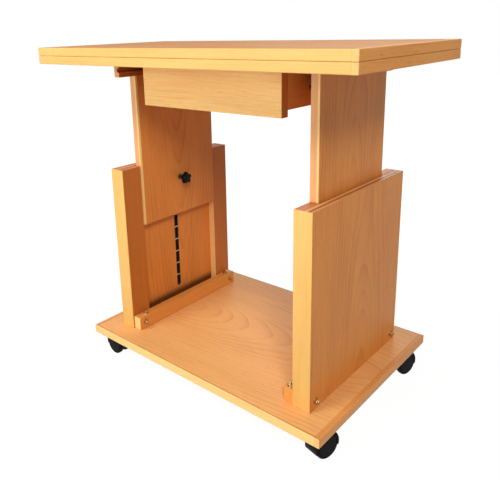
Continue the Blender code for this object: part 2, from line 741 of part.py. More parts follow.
def build_hood(name, neck_high):
    """The hood over both wheels: a fender round a middle web, under a neck that takes the kingpin."""
    outer = HOOD_RADIUS
    inner = outer - FENDER
    half = WEB / 2 + WHEEL_GAP + WHEEL_WIDTH
    bore = AXLE_RADIUS + TURN_GAP
    profile = [
        (outer - FENDER / 2, -half),
        (outer, -half + FENDER),
        (outer, half - FENDER),
        (outer - FENDER / 2, half),
        (inner, half),
        (inner, WEB / 2),
        (bore, WEB / 2),
        (bore, -WEB / 2),
        (inner, -WEB / 2),
        (inner, -half),
    ]
    axle = frame_along((0, CASTOR_TRAIL, WHEEL_RADIUS), (1, CASTOR_TRAIL, WHEEL_RADIUS))
    hood = turned(name, profile, axle, 32, "black_plastic")
    y = (CASTOR_TRAIL - 2 * outer, CASTOR_TRAIL + 2 * outer)
    cut(hood, box("below", (-2 * half, 2 * half), y, (-outer, WHEEL_RADIUS - FENDER_BELOW_AXLE)))
    neck = rod("neck", NECK_RADIUS, (0, 0, WHEEL_RADIUS), (0, 0, neck_high), 28)
    middle = inner + FENDER / 2
    ends = (-2 * half, CASTOR_TRAIL, WHEEL_RADIUS), (2 * half, CASTOR_TRAIL, WHEEL_RADIUS)
    cut(neck, rod("wheel_room", middle, *ends, 32))
    join(hood, neck)
    depth = KINGPIN + 2 * SEAT_GAP
    kingpin = rod("bore", KINGPIN_RADIUS + TURN_GAP, (0, 0, neck_high - depth), (0, 0, neck_high + BOARD))
    return cut(hood, kingpin)


def build_wheel(side, name, inner_x):
    """A wheel with a dished outer face and a blind bore on its inner face."""
    bore = AXLE_RADIUS + TURN_GAP
    depth = WHEEL_WIDTH * 0.7 + SEAT_GAP
    rim = WHEEL_RADIUS * 0.9
    dish = WHEEL_WIDTH - 2.2 * MM
    ease = 1.6 * MM
    profile = [
        (0, depth),
        (bore, depth),
        (bore, 0),
        (rim, 0),
        (WHEEL_RADIUS, ease),
        (WHEEL_RADIUS, WHEEL_WIDTH - ease),
        (rim, WHEEL_WIDTH),
        (rim - ease, dish),
        (WHEEL_RADIUS * 0.34, dish),
        (WHEEL_RADIUS * 0.28, WHEEL_WIDTH),
        (0, WHEEL_WIDTH),
    ]
    frame = frame_along((side * inner_x, CASTOR_TRAIL, WHEEL_RADIUS), (side, CASTOR_TRAIL, WHEEL_RADIUS))
    return turned(name, profile, frame, 24, "black_tread")


def build_table():
    """Builds every part of the table and moves it to its frame."""
    build_base()
    for side, name in ((-1, "left"), (1, "right")):
        build_support(side, name)
        build_sliding_panel(side, name)
        build_clamp(side, name)
        build_runner(side, name)
        build_hinge(side, name)
    build_bar(-1, "left", BAR_OUT_LEFT)
    build_bar(1, "right", BAR_OUT_RIGHT)
    build_top()
    build_drawer()
    for name in CASTOR_YAW:
        build_castor(name)
    for obj in bpy.data.objects:
        obj.location.y += CENTRE_Y


clear_scene()
MATERIALS = make_materials()
build_table()
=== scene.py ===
"""Looks of the art table on castors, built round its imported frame.

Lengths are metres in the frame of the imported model: X runs across the table, -Y is its front and +Z is up.
"""

from __future__ import annotations

import json
import logging
import math
from dataclasses import dataclass, field, replace
from enum import Enum
from typing import Any, Callable, Iterable, Sequence

import bpy
from mathutils import Matrix, Vector

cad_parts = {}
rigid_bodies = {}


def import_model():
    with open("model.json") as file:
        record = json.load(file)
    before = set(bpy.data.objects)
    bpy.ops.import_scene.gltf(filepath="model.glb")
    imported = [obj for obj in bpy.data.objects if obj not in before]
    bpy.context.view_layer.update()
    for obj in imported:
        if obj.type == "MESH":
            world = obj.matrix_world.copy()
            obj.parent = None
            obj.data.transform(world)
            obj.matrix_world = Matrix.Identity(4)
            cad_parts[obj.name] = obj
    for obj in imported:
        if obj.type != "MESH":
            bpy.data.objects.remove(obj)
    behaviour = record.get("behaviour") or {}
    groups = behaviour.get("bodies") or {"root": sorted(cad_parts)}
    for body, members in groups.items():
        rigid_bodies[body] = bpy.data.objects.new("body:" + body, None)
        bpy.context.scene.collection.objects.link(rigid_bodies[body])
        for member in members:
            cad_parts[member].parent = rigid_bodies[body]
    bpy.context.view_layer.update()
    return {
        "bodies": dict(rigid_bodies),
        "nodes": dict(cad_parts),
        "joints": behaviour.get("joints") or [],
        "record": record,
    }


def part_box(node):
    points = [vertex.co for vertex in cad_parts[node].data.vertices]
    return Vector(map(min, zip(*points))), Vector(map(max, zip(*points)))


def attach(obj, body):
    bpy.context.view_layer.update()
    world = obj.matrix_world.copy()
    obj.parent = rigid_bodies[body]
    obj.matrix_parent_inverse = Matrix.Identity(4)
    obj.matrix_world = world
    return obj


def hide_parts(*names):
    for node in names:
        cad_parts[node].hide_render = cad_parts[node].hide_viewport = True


LOG = logging.getLogger("art_table")
MM = 0.001

Colour = tuple[float, float, float, float]
Point = tuple[float, float, float]
Profile = list[tuple[float, float]]
Piece = bpy.types.Object


def srgb(*shown: float) -> Colour:
    """Turns a displayed colour into a linear one.

    Args:
        shown: Red, green and blue from 0 to 255.

    Returns:
        The linear colour with full alpha.
    """
    shares = [value / 255 for value in shown]
    linear = [s / 12.92 if s <= 0.04045 else ((s + 0.055) / 1.055) ** 2.4 for s in shares]
    return (linear[0], linear[1], linear[2], 1.0)


def frame_along(start: Sequence[float], direction: Sequence[float]) -> Matrix:
    """A frame with its Z axis along a direction.

    Args:
        start: Origin of the frame.
        direction: Where its Z axis points.

    Returns:
        The frame as a matrix.
    """
    turn = Vector((0, 0, 1)).rotation_difference(Vector(direction))
    return Matrix.Translation(Vector(start)) @ turn.to_matrix().to_4x4()


def middle(node: str) -> Vector:
    """Middle of a node's box."""
    low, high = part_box(node)
    return (low + high) / 2


def face_x(node: str, side: int) -> float:
    """Where a node ends towards the left, -1, or the right, 1."""
    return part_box(node)[side > 0].x


def rounded_rim(radius: float, ease: float, start: float, end: float, steps: int = 4) -> Profile:
    """Profile of a rim with two rounded edges.

    Args:
        radius: Radius of the rim.
        ease: Rounding of its edges.
        start: Height of the first edge.
        end: Height of the second one.
        steps: Steps of each rounding.

    Returns:
        Radius and height of each step.
    """
    way = math.copysign(ease, end - start)
    turns = [math.pi / 2 * i / steps for i in range(steps + 1)]
    first = [(radius - ease + ease * math.sin(t), start + way * (1 - math.cos(t))) for t in turns]
    last = [(radius - ease + ease * math.cos(t), end - way * (1 - math.sin(t))) for t in turns]
    return first + last


class Axis(Enum):
    """A direction of the table's frame."""

    X = 0
    Y = 1
    Z = 2


class Ends(Enum):
    """Which ends of a board a zone takes."""

    LOW = "low"
    HIGH = "high"
    BOTH = "both"


class Cut(Enum):
    """What a Boolean does with its tool."""

    REMOVE = "DIFFERENCE"
    ADD = "UNION"
    SHARE = "INTERSECT"


class Slot(Enum):
    """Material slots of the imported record."""

    BOARD = "veneered_board"
    PLASTIC = "black_plastic"
    TREAD = "black_tread"
    STEEL = "plated_steel"
    BRASS = "brass"


def operator(operation: str, flipped: bool = False) -> Callable[[Signal, Signal | float], Signal]:
    """Makes the method of a Python operator on signals.

    Args:
        operation: Name of the Math operation.
        flipped: Whether the signal is the second value.

    Returns:
        The method.
    """

    def method(signal: Signal, other: Signal | float) -> Signal:
        """Adds the Math node of the operator."""
        pair = (other, signal) if flipped else (signal, other)
        return signal.sheet.node("ShaderNodeMath", {"operation": operation}, dict(enumerate(pair)))

    return method


class Signal:
    """A shader socket that takes part in Python expressions."""

    __add__ = __radd__ = operator("ADD")
    __mul__ = __rmul__ = operator("MULTIPLY")
    __sub__ = operator("SUBTRACT")
    __rsub__ = operator("SUBTRACT", flipped=True)
    __pow__ = operator("POWER")
    __gt__ = operator("GREATER_THAN")
    __or__ = operator("MAXIMUM")
    __and__ = operator("MINIMUM")

    def __init__(self, sheet: NodeSheet, socket: bpy.types.NodeSocket) -> None:
        """Wraps one output socket of a sheet."""
        self.sheet = sheet
        self.socket = socket

    def __abs__(self) -> Signal:
        """Size without sign."""
        return self.math("ABSOLUTE")

    def math(self, operation: str) -> Signal:
        """Adds a Math node that needs no other value."""
        return self.sheet.node("ShaderNodeMath", {"operation": operation}, {0: self})

    def step(self, low: float, high: float) -> Signal:
        """Rises smoothly from 0 at the low value to 1 at the high one."""
        settings = {"interpolation_type": "SMOOTHSTEP"}
        return self.sheet.node("ShaderNodeMapRange", settings, {0: self, 1: low, 2: high})


class NodeSheet:
    """A node tree with one way to add nodes."""

    def __init__(self, tree: bpy.types.NodeTree) -> None:
        """Works on a tree that exists."""
        self.tree = tree

    def node(
        self,
        kind: str,
        settings: dict[str, Any] | None = None,
        values: dict[int | str, Any] | None = None,
        output: int | str = 0,
    ) -> Signal:
        """Adds a node.

        Args:
            kind: Type name of the node.
            settings: Properties of the node, set before its sockets.
            values: Numbers, colours or signals for its input sockets.
            output: Which output is returned.

        Returns:
            The chosen output.
        """
        made = self.tree.nodes.new(kind)
        for key, value in (settings or {}).items():
            setattr(made, key, value)
        for key, value in (values or {}).items():
            self.feed(made.inputs[key], value)
        return Signal(self, made.outputs[output])

    def feed(self, socket: bpy.types.NodeSocket, value: Any) -> None:
        """Links a signal to a socket, or sets the socket's own value.

        Args:
            socket: The socket.
            value: A signal, or a number or colour.
        """
        if isinstance(value, Signal):
            self.tree.links.new(value.socket, socket)
        else:
            socket.default_value = value

    def mix(self, share: Signal | float, first: Signal | Colour, second: Signal | Colour) -> Signal:
        """Mixes two colours, the second one by a share from 0 to 1."""
        settings = {"data_type": "RGBA", "clamp_factor": True}
        return self.node("ShaderNodeMix", settings, {0: share, 6: first, 7: second}, 2)

    def blend(self, share: Signal, first: Signal, second: Signal) -> Signal:
        """Mixes two values as mix does two colours."""
        return first + share * (second - first)

    def place(self) -> list[Signal]:
        """Reads the object coordinates.

        Returns:
            Three signals, along X, Y and Z.
        """
        vector = self.node("ShaderNodeTexCoord", output="Object")
        parts = self.node("ShaderNodeSeparateXYZ", None, {0: vector})
        return [Signal(self, socket) for socket in parts.socket.node.outputs]

    def noise(self, point: Sequence[Signal | float], detail: float = 2.0, rough: float = 0.5) -> Signal:
        """Smooth noise from 0 to 1.

        Args:
            point: Where it is read, already scaled.
            detail: Octaves of finer noise.
            rough: Strength of each finer octave.

        Returns:
            The noise.
        """
        vector = self.node("ShaderNodeCombineXYZ", None, dict(enumerate(point)))
        values = {"Vector": vector, "Scale": 1.0, "Detail": detail, "Roughness": rough}
        return self.node("ShaderNodeTexNoise", None, values)

    def any_seen_ray(self) -> Signal:
        """Finds the rays that show the background.

        Returns:
            One for camera, glossy and transmission rays.
        """
        path = self.node("ShaderNodeLightPath").socket.node.outputs
        kinds = ("Is Camera Ray", "Is Glossy Ray", "Is Transmission Ray")
        camera, glossy, clear = (Signal(self, path[kind]) for kind in kinds)
        return camera | glossy | clear


class Paint(NodeSheet):
    """The nodes of one Principled material."""

    def __init__(self, name: str) -> None:
        """Makes a new material.

        Args:
            name: Name of the material.
        """
        self.material = bpy.data.materials.new(name)
        self.material.use_nodes = True
        super().__init__(self.material.node_tree)
        self.shader = self.tree.nodes["Principled BSDF"]

    def set(self, **values: Any) -> None:
        """Feeds the shader's sockets, whose names are written with underscores."""
        for key, value in values.items():
            self.feed(self.shader.inputs[key.replace("_", " ")], value)

    def bump(self, height: Signal, distance: float, strength: float = 1.0) -> None:
        """Raises the surface by a height from 0 to 1, where 1 stands for a distance."""
        values = {"Height": height, "Distance": distance, "Strength": strength}
        self.set(Normal=self.node("ShaderNodeBump", None, values))

    def apply_to(self, piece: Piece) -> None:
        """Makes this the only material of a piece."""
        piece.data.materials.clear()
        piece.data.materials.append(self.material)


@dataclass(frozen=True)
class Layer:
    """What one finish gives to a shader."""

    colour: Signal
    rough: Signal
    height: Signal


@dataclass(frozen=True)
class Grain:
    """How a board was sawn from its tree.

    Attributes:
        along: Direction of the fibres.
        across: Direction across the fibres on the broad faces.
        heart: A point on the heart line, which the growth rings go round.
        tilt: How fast the heart line leaves the broad face.
        seed: Shifts the pattern, so that no two boards are alike.
    """

    along: Axis
    across: Axis
    heart: Point
    tilt: float
    seed: float = 0.0

    def read(self, place: Sequence[Signal]) -> list[Signal]:
        """Distances from the heart point along, across and through the board."""
        order = (self.along, self.across, *(set(Axis) - {self.along, self.across}))
        return [place[axis.value] - self.heart[axis.value] for axis in order]


@dataclass(frozen=True)
class Wood:
    """A lacquered wood with growth rings, fibres and pores.

    Attributes:
        early: Colour of the wood between the ring lines.
        late: Colour of the ring lines.
        pore: Colour of the pores.
        ring: Distance from ring to ring.
        ring_share: Strength of the ring lines.
        streak_share: Strength of the long streaks.
        pore_share: Strength of the pores.
        rough: Roughness of the lacquer.
        specular: Strength of its reflections.
    """

    early: Colour
    late: Colour
    pore: Colour
    ring: float = 7.5 * MM
    ring_share: float = 0.5
    streak_share: float = 0.3
    pore_share: float = 0.25
    rough: float = 0.42
    specular: float = 0.25

    def lay(self, paint: Paint, place: Sequence[Signal], grain: Grain) -> Layer:
        """Draws the wood.

        Args:
            paint: The material that gets the nodes.
            place: Object coordinates.
            grain: How the board was sawn.

        Returns:
            Colour, roughness and height.
        """
        along, across, deep = grain.read(place)
        seed = grain.seed

        def drawn_out(long: float, short: float, *detail: float) -> Signal:
            """Noise that is finer across the fibres than along them."""
            return paint.noise((along * long + seed, across * short, deep * short), *detail)

        wide = drawn_out(1.7, 6, 1.0) - 0.5
        fine = drawn_out(10, 40) - 0.5
        side = across + wide * 0.08 + fine * 0.009
        lift = deep + along * grain.tilt + wide * 0.04
        distance = (side * side + lift * lift) ** 0.5
        uneven = paint.noise((distance * 60, seed, 0.0), 1.0)
        fade = drawn_out(5, 24)
        ring = (distance * (1 / self.ring) + uneven * 1.6).math("FRACT") ** 4.0
        line = ring * (0.25 + fade.step(0.3, 0.7) * 0.75)
        streak = drawn_out(6, 300, 3.0, 0.6)
        fibre = drawn_out(45, 600, 2.0, 0.6)
        pores = fibre.step(0.56, 0.74)
        colour = paint.mix(fade.step(0.35, 0.75) * (0.6 * self.streak_share), self.early, self.late)
        colour = paint.mix(streak.step(0.45, 0.8) * self.streak_share, colour, self.late)
        colour = paint.mix(line * self.ring_share, colour, self.late)
        colour = paint.mix(pores * self.pore_share, colour, self.pore)
        rough = self.rough + streak * 0.08 + pores * 0.08
        height = streak * 0.3 - pores * 0.6 - line * 0.4
        return Layer(colour, rough, height)


@dataclass(frozen=True)
class Zone:
    """A lipping, an edge band, a painted shade or a painted highlight: what lies within a distance of a
    board's ends.

    Attributes:
        axis: Direction from end to end.
        ends: Which of the two ends.
        width: How far the zone reaches in.
        wood: Wood of the zone.
        grain: How that wood was sawn.
        within: Other zones that it also has to lie in.
        fade: Distance over which it fades out, for a zone without a glue line.
    """

    axis: Axis
    ends: Ends
    width: float
    wood: Wood
    grain: Grain
    within: tuple[Zone, ...] = ()
    fade: float = 0.0

    def reach(self, place: Sequence[Signal], low: Vector, high: Vector) -> Signal:
        """Depth inside the zone, which is below zero outside it.

        Args:
            place: Object coordinates.
            low: Lowest corner of the board.
            high: Highest corner of the board.

        Returns:
            The depth in metres.
        """
        i = self.axis.value
        if self.ends is Ends.LOW:
            depth = (low[i] + self.width) - place[i]
        elif self.ends is Ends.HIGH:
            depth = place[i] - (high[i] - self.width)
        else:
            centre = (low[i] + high[i]) / 2
            depth = abs(place[i] - centre) - ((high[i] - low[i]) / 2 - self.width)
        for zone in self.within:
            depth = depth & zone.reach(place, low, high)
        return depth


@dataclass
class Board:
    """A wooden piece and the way it is veneered.

    Attributes:
        piece: Name of the object, which may be a node of the frame.
        wood: Wood of its faces.
        grain: How the faces were sawn.
        zones: Lippings, edge bands, painted shade and painted highlights, the later ones on top.
    """

    piece: str
    wood: Wood
    grain: Grain
    zones: tuple[Zone, ...] = ()

    GLUE_LINE = 0.3 * MM
    GLUE_SHARE = 0.45
    GLUE = srgb(120, 66, 26)
    RELIEF = 0.12 * MM

    def paint(self) -> Paint:
        """Makes the piece's own wood material.

        Returns:
            The material.
        """
        corners = [vertex.co for vertex in bpy.data.objects[self.piece].data.vertices]
        low = Vector([min(c[i] for c in corners) for i in range(3)])
        high = Vector([max(c[i] for c in corners) for i in range(3)])
        paint = Paint(f"wood_{self.piece}")
        place = paint.place()
        layer = self.wood.lay(paint, place, self.grain)
        for zone in self.zones:
            above = zone.wood.lay(paint, place, zone.grain)
            layer = self.overlay(paint, layer, above, zone.reach(place, low, high), zone.fade)
        paint.set(Base_Color=layer.colour, Roughness=layer.rough, Specular_IOR_Level=self.wood.specular)
        paint.bump(layer.height, self.RELIEF, 0.5)
        return paint

    def overlay(self, paint: Paint, layer: Layer, above: Layer, reach: Signal, fade: float) -> Layer:
        """Lays the finish of one zone over the finish so far.

        Args:
            paint: The material that gets the nodes.
            layer: The finish so far.
            above: The finish of the zone.
            reach: Depth inside the zone.
            fade: Distance over which the zone fades out, or nothing.

        Returns:
            The finish with the zone.
        """
        if fade:
            return replace(layer, colour=paint.mix(reach.step(0.0, fade), layer.colour, above.colour))
        mask = reach > 0.0
        glue = 1.0 - abs(reach).step(0.0, self.GLUE_LINE)
        colour = paint.mix(mask, layer.colour, above.colour)
        colour = paint.mix(glue * self.GLUE_SHARE, colour, self.GLUE)
        rough = paint.blend(mask, layer.rough, above.rough)
        height = paint.blend(mask, layer.height, above.height) - glue
        return Layer(colour, rough, height)


@dataclass(frozen=True)
class Plastic:
    """Moulded plastic with a fine skin.

    Attributes:
        base: Colour of the skin.
        worn: Colour where it is dusty or rubbed.
        rough: Roughness of the skin.
        skin: Height of the moulded texture.
        specular: Strength of its reflections.
    """

    base: Colour
    worn: Colour
    rough: float
    skin: float = 0.03 * MM
    specular: float = 0.12

    def paint(self, name: str) -> Paint:
        """Makes a material of this plastic.

        Args:
            name: Name of the material.

        Returns:
            The material.
        """
        paint = Paint(name)
        place = paint.place()
        cloud = paint.noise([p * 70 for p in place], 3.0)
        grit = paint.noise([p * 2600 for p in place], 1.0)
        paint.set(
            Base_Color=paint.mix(cloud.step(0.45, 0.75) * 0.6, self.base, self.worn),
            Roughness=self.rough + cloud * 0.1 + grit * 0.06,
            Specular_IOR_Level=self.specular,
        )
        paint.bump(grit, self.skin, 0.6)
        return paint


@dataclass(frozen=True)
class Metal:
    """Plated or drawn metal with faint brushing and stains.

    Attributes:
        base: Colour of the clean metal.
        stain: Colour of the stains.
        rough: Roughness of the clean metal.
    """

    base: Colour
    stain: Colour
    rough: float

    def paint(self, name: str) -> Paint:
        """Makes a material of this metal.

        Args:
            name: Name of the material.

        Returns:
            The material.
        """
        paint = Paint(name)
        place = paint.place()
        cloud = paint.noise([p * 260 for p in place], 3.0, 0.6)
        brush = paint.noise((place[0] * 300, place[1] * 3600, place[2] * 3600), 2.0)
        stain = cloud.step(0.48, 0.78)
        paint.set(
            Base_Color=paint.mix(stain * 0.7, self.base, self.stain),
            Roughness=self.rough + stain * 0.16 + brush * 0.08,
            Metallic=1.0,
        )
        paint.bump(brush, 0.015 * MM, 0.5)
        return paint


class Bench:
    """Hand tools that work on one new piece at a time."""

    @staticmethod
    def clear() -> None:
        """Deselects every object."""
        bpy.ops.object.select_all(action="DESELECT")

    @classmethod
    def pick(cls, piece: Piece) -> None:
        """Selects one piece alone and makes it the active one.

        Args:
            piece: The piece.
        """
        cls.clear()
        piece.select_set(True)
        bpy.context.view_layer.objects.active = piece

    @classmethod
    def settle(cls, piece: Piece, frame: Matrix) -> Piece:
        """Moves a piece into a frame and puts its place into its mesh.

        Args:
            piece: The piece.
            frame: Where it goes.

        Returns:
            The same piece.
        """
        cls.pick(piece)
        piece.matrix_world = frame
        bpy.ops.object.transform_apply(location=True, rotation=True, scale=True)
        return piece

    @classmethod
    def turned(cls, name: str, profile: Profile, segments: int) -> Piece:
        """Turns a closed solid about the Z axis.

        A disc is added, and its face is extruded and scaled from step to step of the profile.

        Args:
            name: Name of the piece.
            profile: Radius and height of each step, from one end to the other.
            segments: Points round the axis.

        Returns:
            The new piece.
        """
        cls.clear()
        radius, height = profile[0]
        bpy.ops.mesh.primitive_circle_add(
            vertices=segments, radius=radius, fill_type="NGON", location=(0, 0, height)
        )
        piece = bpy.context.object
        piece.name = name
        bpy.ops.object.transform_apply(location=True)
        bpy.ops.object.mode_set(mode="EDIT")
        bpy.ops.mesh.select_all(action="SELECT")
        for next_radius, next_height in profile[1:]:
            step = (0, 0, next_height - height)
            bpy.ops.mesh.extrude_region_move(TRANSFORM_OT_translate={"value": step})
            share = next_radius / radius
            bpy.ops.transform.resize(value=(share, share, 1), center_override=(0, 0, next_height))
            radius, height = next_radius, next_height
        cls.face_outwards()
        return piece

    @classmethod
    def rod(cls, radius: float, low: float, high: float, segments: int = 32) -> Piece:
        """Turns a plain rod between two heights, as a shank or as the tool for a bore."""
        return cls.turned("rod", [(radius, low), (radius, high)], segments)

    @staticmethod
    def face_outwards() -> None:
        """Merges doubles, turns every face outwards and leaves edit mode."""
        bpy.ops.mesh.select_all(action="SELECT")
        bpy.ops.mesh.remove_doubles(threshold=1e-7)
        bpy.ops.mesh.normals_make_consistent(inside=False)
        bpy.ops.object.mode_set(mode="OBJECT")

    @classmethod
    def block(cls, name: str, low: Point, high: Point) -> Piece:
        """Adds a block between two corners.

        Args:
            name: Name of the piece.
            low: Lowest corner.
            high: Highest corner.

        Returns:
            The new piece.
        """
        cls.clear()
        bpy.ops.mesh.primitive_cube_add(size=1, location=[(a + b) / 2 for a, b in zip(low, high)])
        piece = bpy.context.object
        piece.name = name
        piece.scale = [b - a for a, b in zip(low, high)]
        bpy.ops.object.transform_apply(location=True, rotation=True, scale=True)
        return piece

    @classmethod
    def finish(cls, piece: Piece, kind: str, **settings: Any) -> None:
        """Adds a modifier and applies it.

        Args:
            piece: The piece.
            kind: Type of the modifier.
            settings: Its settings.
        """
        modifier = piece.modifiers.new(kind.lower(), kind)
        for key, value in settings.items():
            setattr(modifier, key, value)
        cls.pick(piece)
        bpy.ops.object.modifier_apply(modifier=modifier.name)

    @classmethod
    def boolean(cls, piece: Piece, cut: Cut, tool: Piece) -> None:
        """Works a tool into a piece and throws the tool away."""
        cls.finish(piece, "BOOLEAN", operation=cut.value, solver="EXACT", object=tool)
        cls.discard(tool)

    @classmethod
    def round_over(cls, piece: Piece, width: float) -> None:
        """Rounds the sharp edges of a piece."""
        angle = math.radians(38)
        cls.finish(piece, "BEVEL", width=width, segments=2, limit_method="ANGLE", angle_limit=angle)

    @classmethod
    def smooth(cls, piece: Piece, degrees: float = 35) -> None:
        """Shades a piece smooth, apart from edges sharper than an angle."""
        cls.pick(piece)
        bpy.ops.object.shade_smooth_by_angle(angle=math.radians(degrees))

    @classmethod
    def joined(cls, name: str, parts: Sequence[Piece]) -> Piece:
        """Joins several pieces into the first one.

        Args:
            name: Name of the result.
            parts: The pieces.

        Returns:
            The joined piece.
        """
        cls.pick(parts[0])
        for part in parts[1:]:
            part.select_set(True)
        bpy.ops.object.join()
        parts[0].name = name
        return parts[0]

    @classmethod
    def copy_at(cls, master: Piece, name: str, frame: Matrix) -> Piece:
        """Copies a master piece, with its own mesh, into a frame.

        Args:
            master: The piece that is copied.
            name: Name of the copy.
            frame: Where the copy goes.

        Returns:
            The copy.
        """
        copy = master.copy()
        copy.data = master.data.copy()
        copy.name = name
        bpy.context.scene.collection.objects.link(copy)
        return cls.settle(copy, frame)

    @staticmethod
    def discard(*pieces: Piece) -> None:
        """Removes tools and masters that have done their work."""
        for piece in pieces:
            bpy.data.objects.remove(piece, do_unlink=True)


def enter(piece: Piece, paint: Paint, body: str, slot: Slot, *replaced: str) -> None:
    """Dresses a finished piece, puts it on its body and reports it.

    Args:
        piece: The new piece.
        paint: Its material.
        body: Body of the frame that it moves with.
        slot: Material slot of the record; not used.
        replaced: Nodes of the frame that it stands for.
    """
    paint.apply_to(piece)
    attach(piece, body)
    if replaced:
        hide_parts(*replaced)
    LOG.info("piece %s on %s", piece.name, body)


SIDES = {"left": -1, "right": 1}
CASTORS = ("front_right", "back_right", "front_left", "back_left")

HONEY = Wood(srgb(248, 186, 114), srgb(210, 130, 72), srgb(176, 104, 54), ring_share=0.6, streak_share=0.2)
MATT_HONEY = replace(HONEY, early=srgb(222, 162, 106), rough=0.6, specular=0.06)
DRAWER_FACE = replace(
    HONEY, early=srgb(255, 208, 126), late=srgb(238, 160, 92), ring_share=0.3, streak_share=0.5
)
# Standing boards and posts: a darker, redder copy of the veneer, which partly paints the warm shade on faces
# that look sideways.
UPRIGHT = Wood(srgb(228, 146, 66), srgb(184, 98, 38), srgb(150, 80, 32), ring_share=0.6, streak_share=0.25)
POST = replace(UPRIGHT, early=srgb(200, 118, 46), late=srgb(166, 86, 30), ring_share=0.25)
PALE = Wood(
    srgb(246, 204, 130),
    srgb(228, 178, 100),
    srgb(196, 138, 72),
    ring_share=0.15,
    streak_share=0.45,
    rough=0.46,
)
POST_EDGE = replace(PALE, early=srgb(255, 216, 142), late=srgb(250, 190, 116))
TOP_EDGE = replace(PALE, early=srgb(238, 192, 116), late=srgb(220, 166, 90))
STRIP = replace(PALE, early=srgb(236, 186, 104), late=srgb(222, 160, 80))
PANEL_EDGE = replace(PALE, early=srgb(234, 172, 112), late=srgb(208, 138, 84))
LIPPING = Wood(srgb(236, 162, 88), srgb(206, 128, 62), srgb(150, 88, 40), ring_share=0.2, streak_share=0.4)
LIPPING_END = replace(PALE, early=srgb(246, 196, 124), late=srgb(228, 162, 92))
SOLID = Wood(srgb(232, 158, 78), srgb(204, 126, 54), srgb(150, 84, 32), ring_share=0.25, streak_share=0.35)
# Darker wood of the uprights' cores, the base's seam lines and the drawer front's ends; on the seam lines
# and drawer ends it partly paints shade.
SHADY = replace(SOLID, early=srgb(204, 120, 50), late=srgb(172, 90, 32))
CORE = replace(SOLID, early=srgb(172, 106, 58), late=srgb(136, 76, 36), streak_share=0.5)
# Leaf support bars: a darker wood, darkened partly to paint the deep shade under the top.
DARK = replace(SOLID, early=srgb(172, 96, 38), late=srgb(142, 72, 26))
# Near-black wood that paints shade: at the outer boards' feet and top gaps, on one end of each leaf support
# bar and on the runner rails.
PAINTED_SHADE = replace(SOLID, early=srgb(84, 42, 16), late=srgb(62, 28, 10), rough=0.7, specular=0.05)
ZINC = Metal(srgb(204, 178, 128), srgb(58, 40, 20), 0.2)
GILT = Metal(srgb(214, 178, 106), srgb(150, 112, 60), 0.3)
BRONZE = Metal(srgb(116, 82, 52), srgb(64, 42, 24), 0.42)
BURNISHED = Metal(srgb(58, 56, 54), srgb(24, 22, 20), 0.26)
BLACK = Plastic(srgb(8, 8, 8), srgb(18, 18, 18), 0.34, specular=0.1)
TREAD = Plastic(srgb(7, 7, 7), srgb(16, 16, 16), 0.48, 0.05 * MM, 0.07)


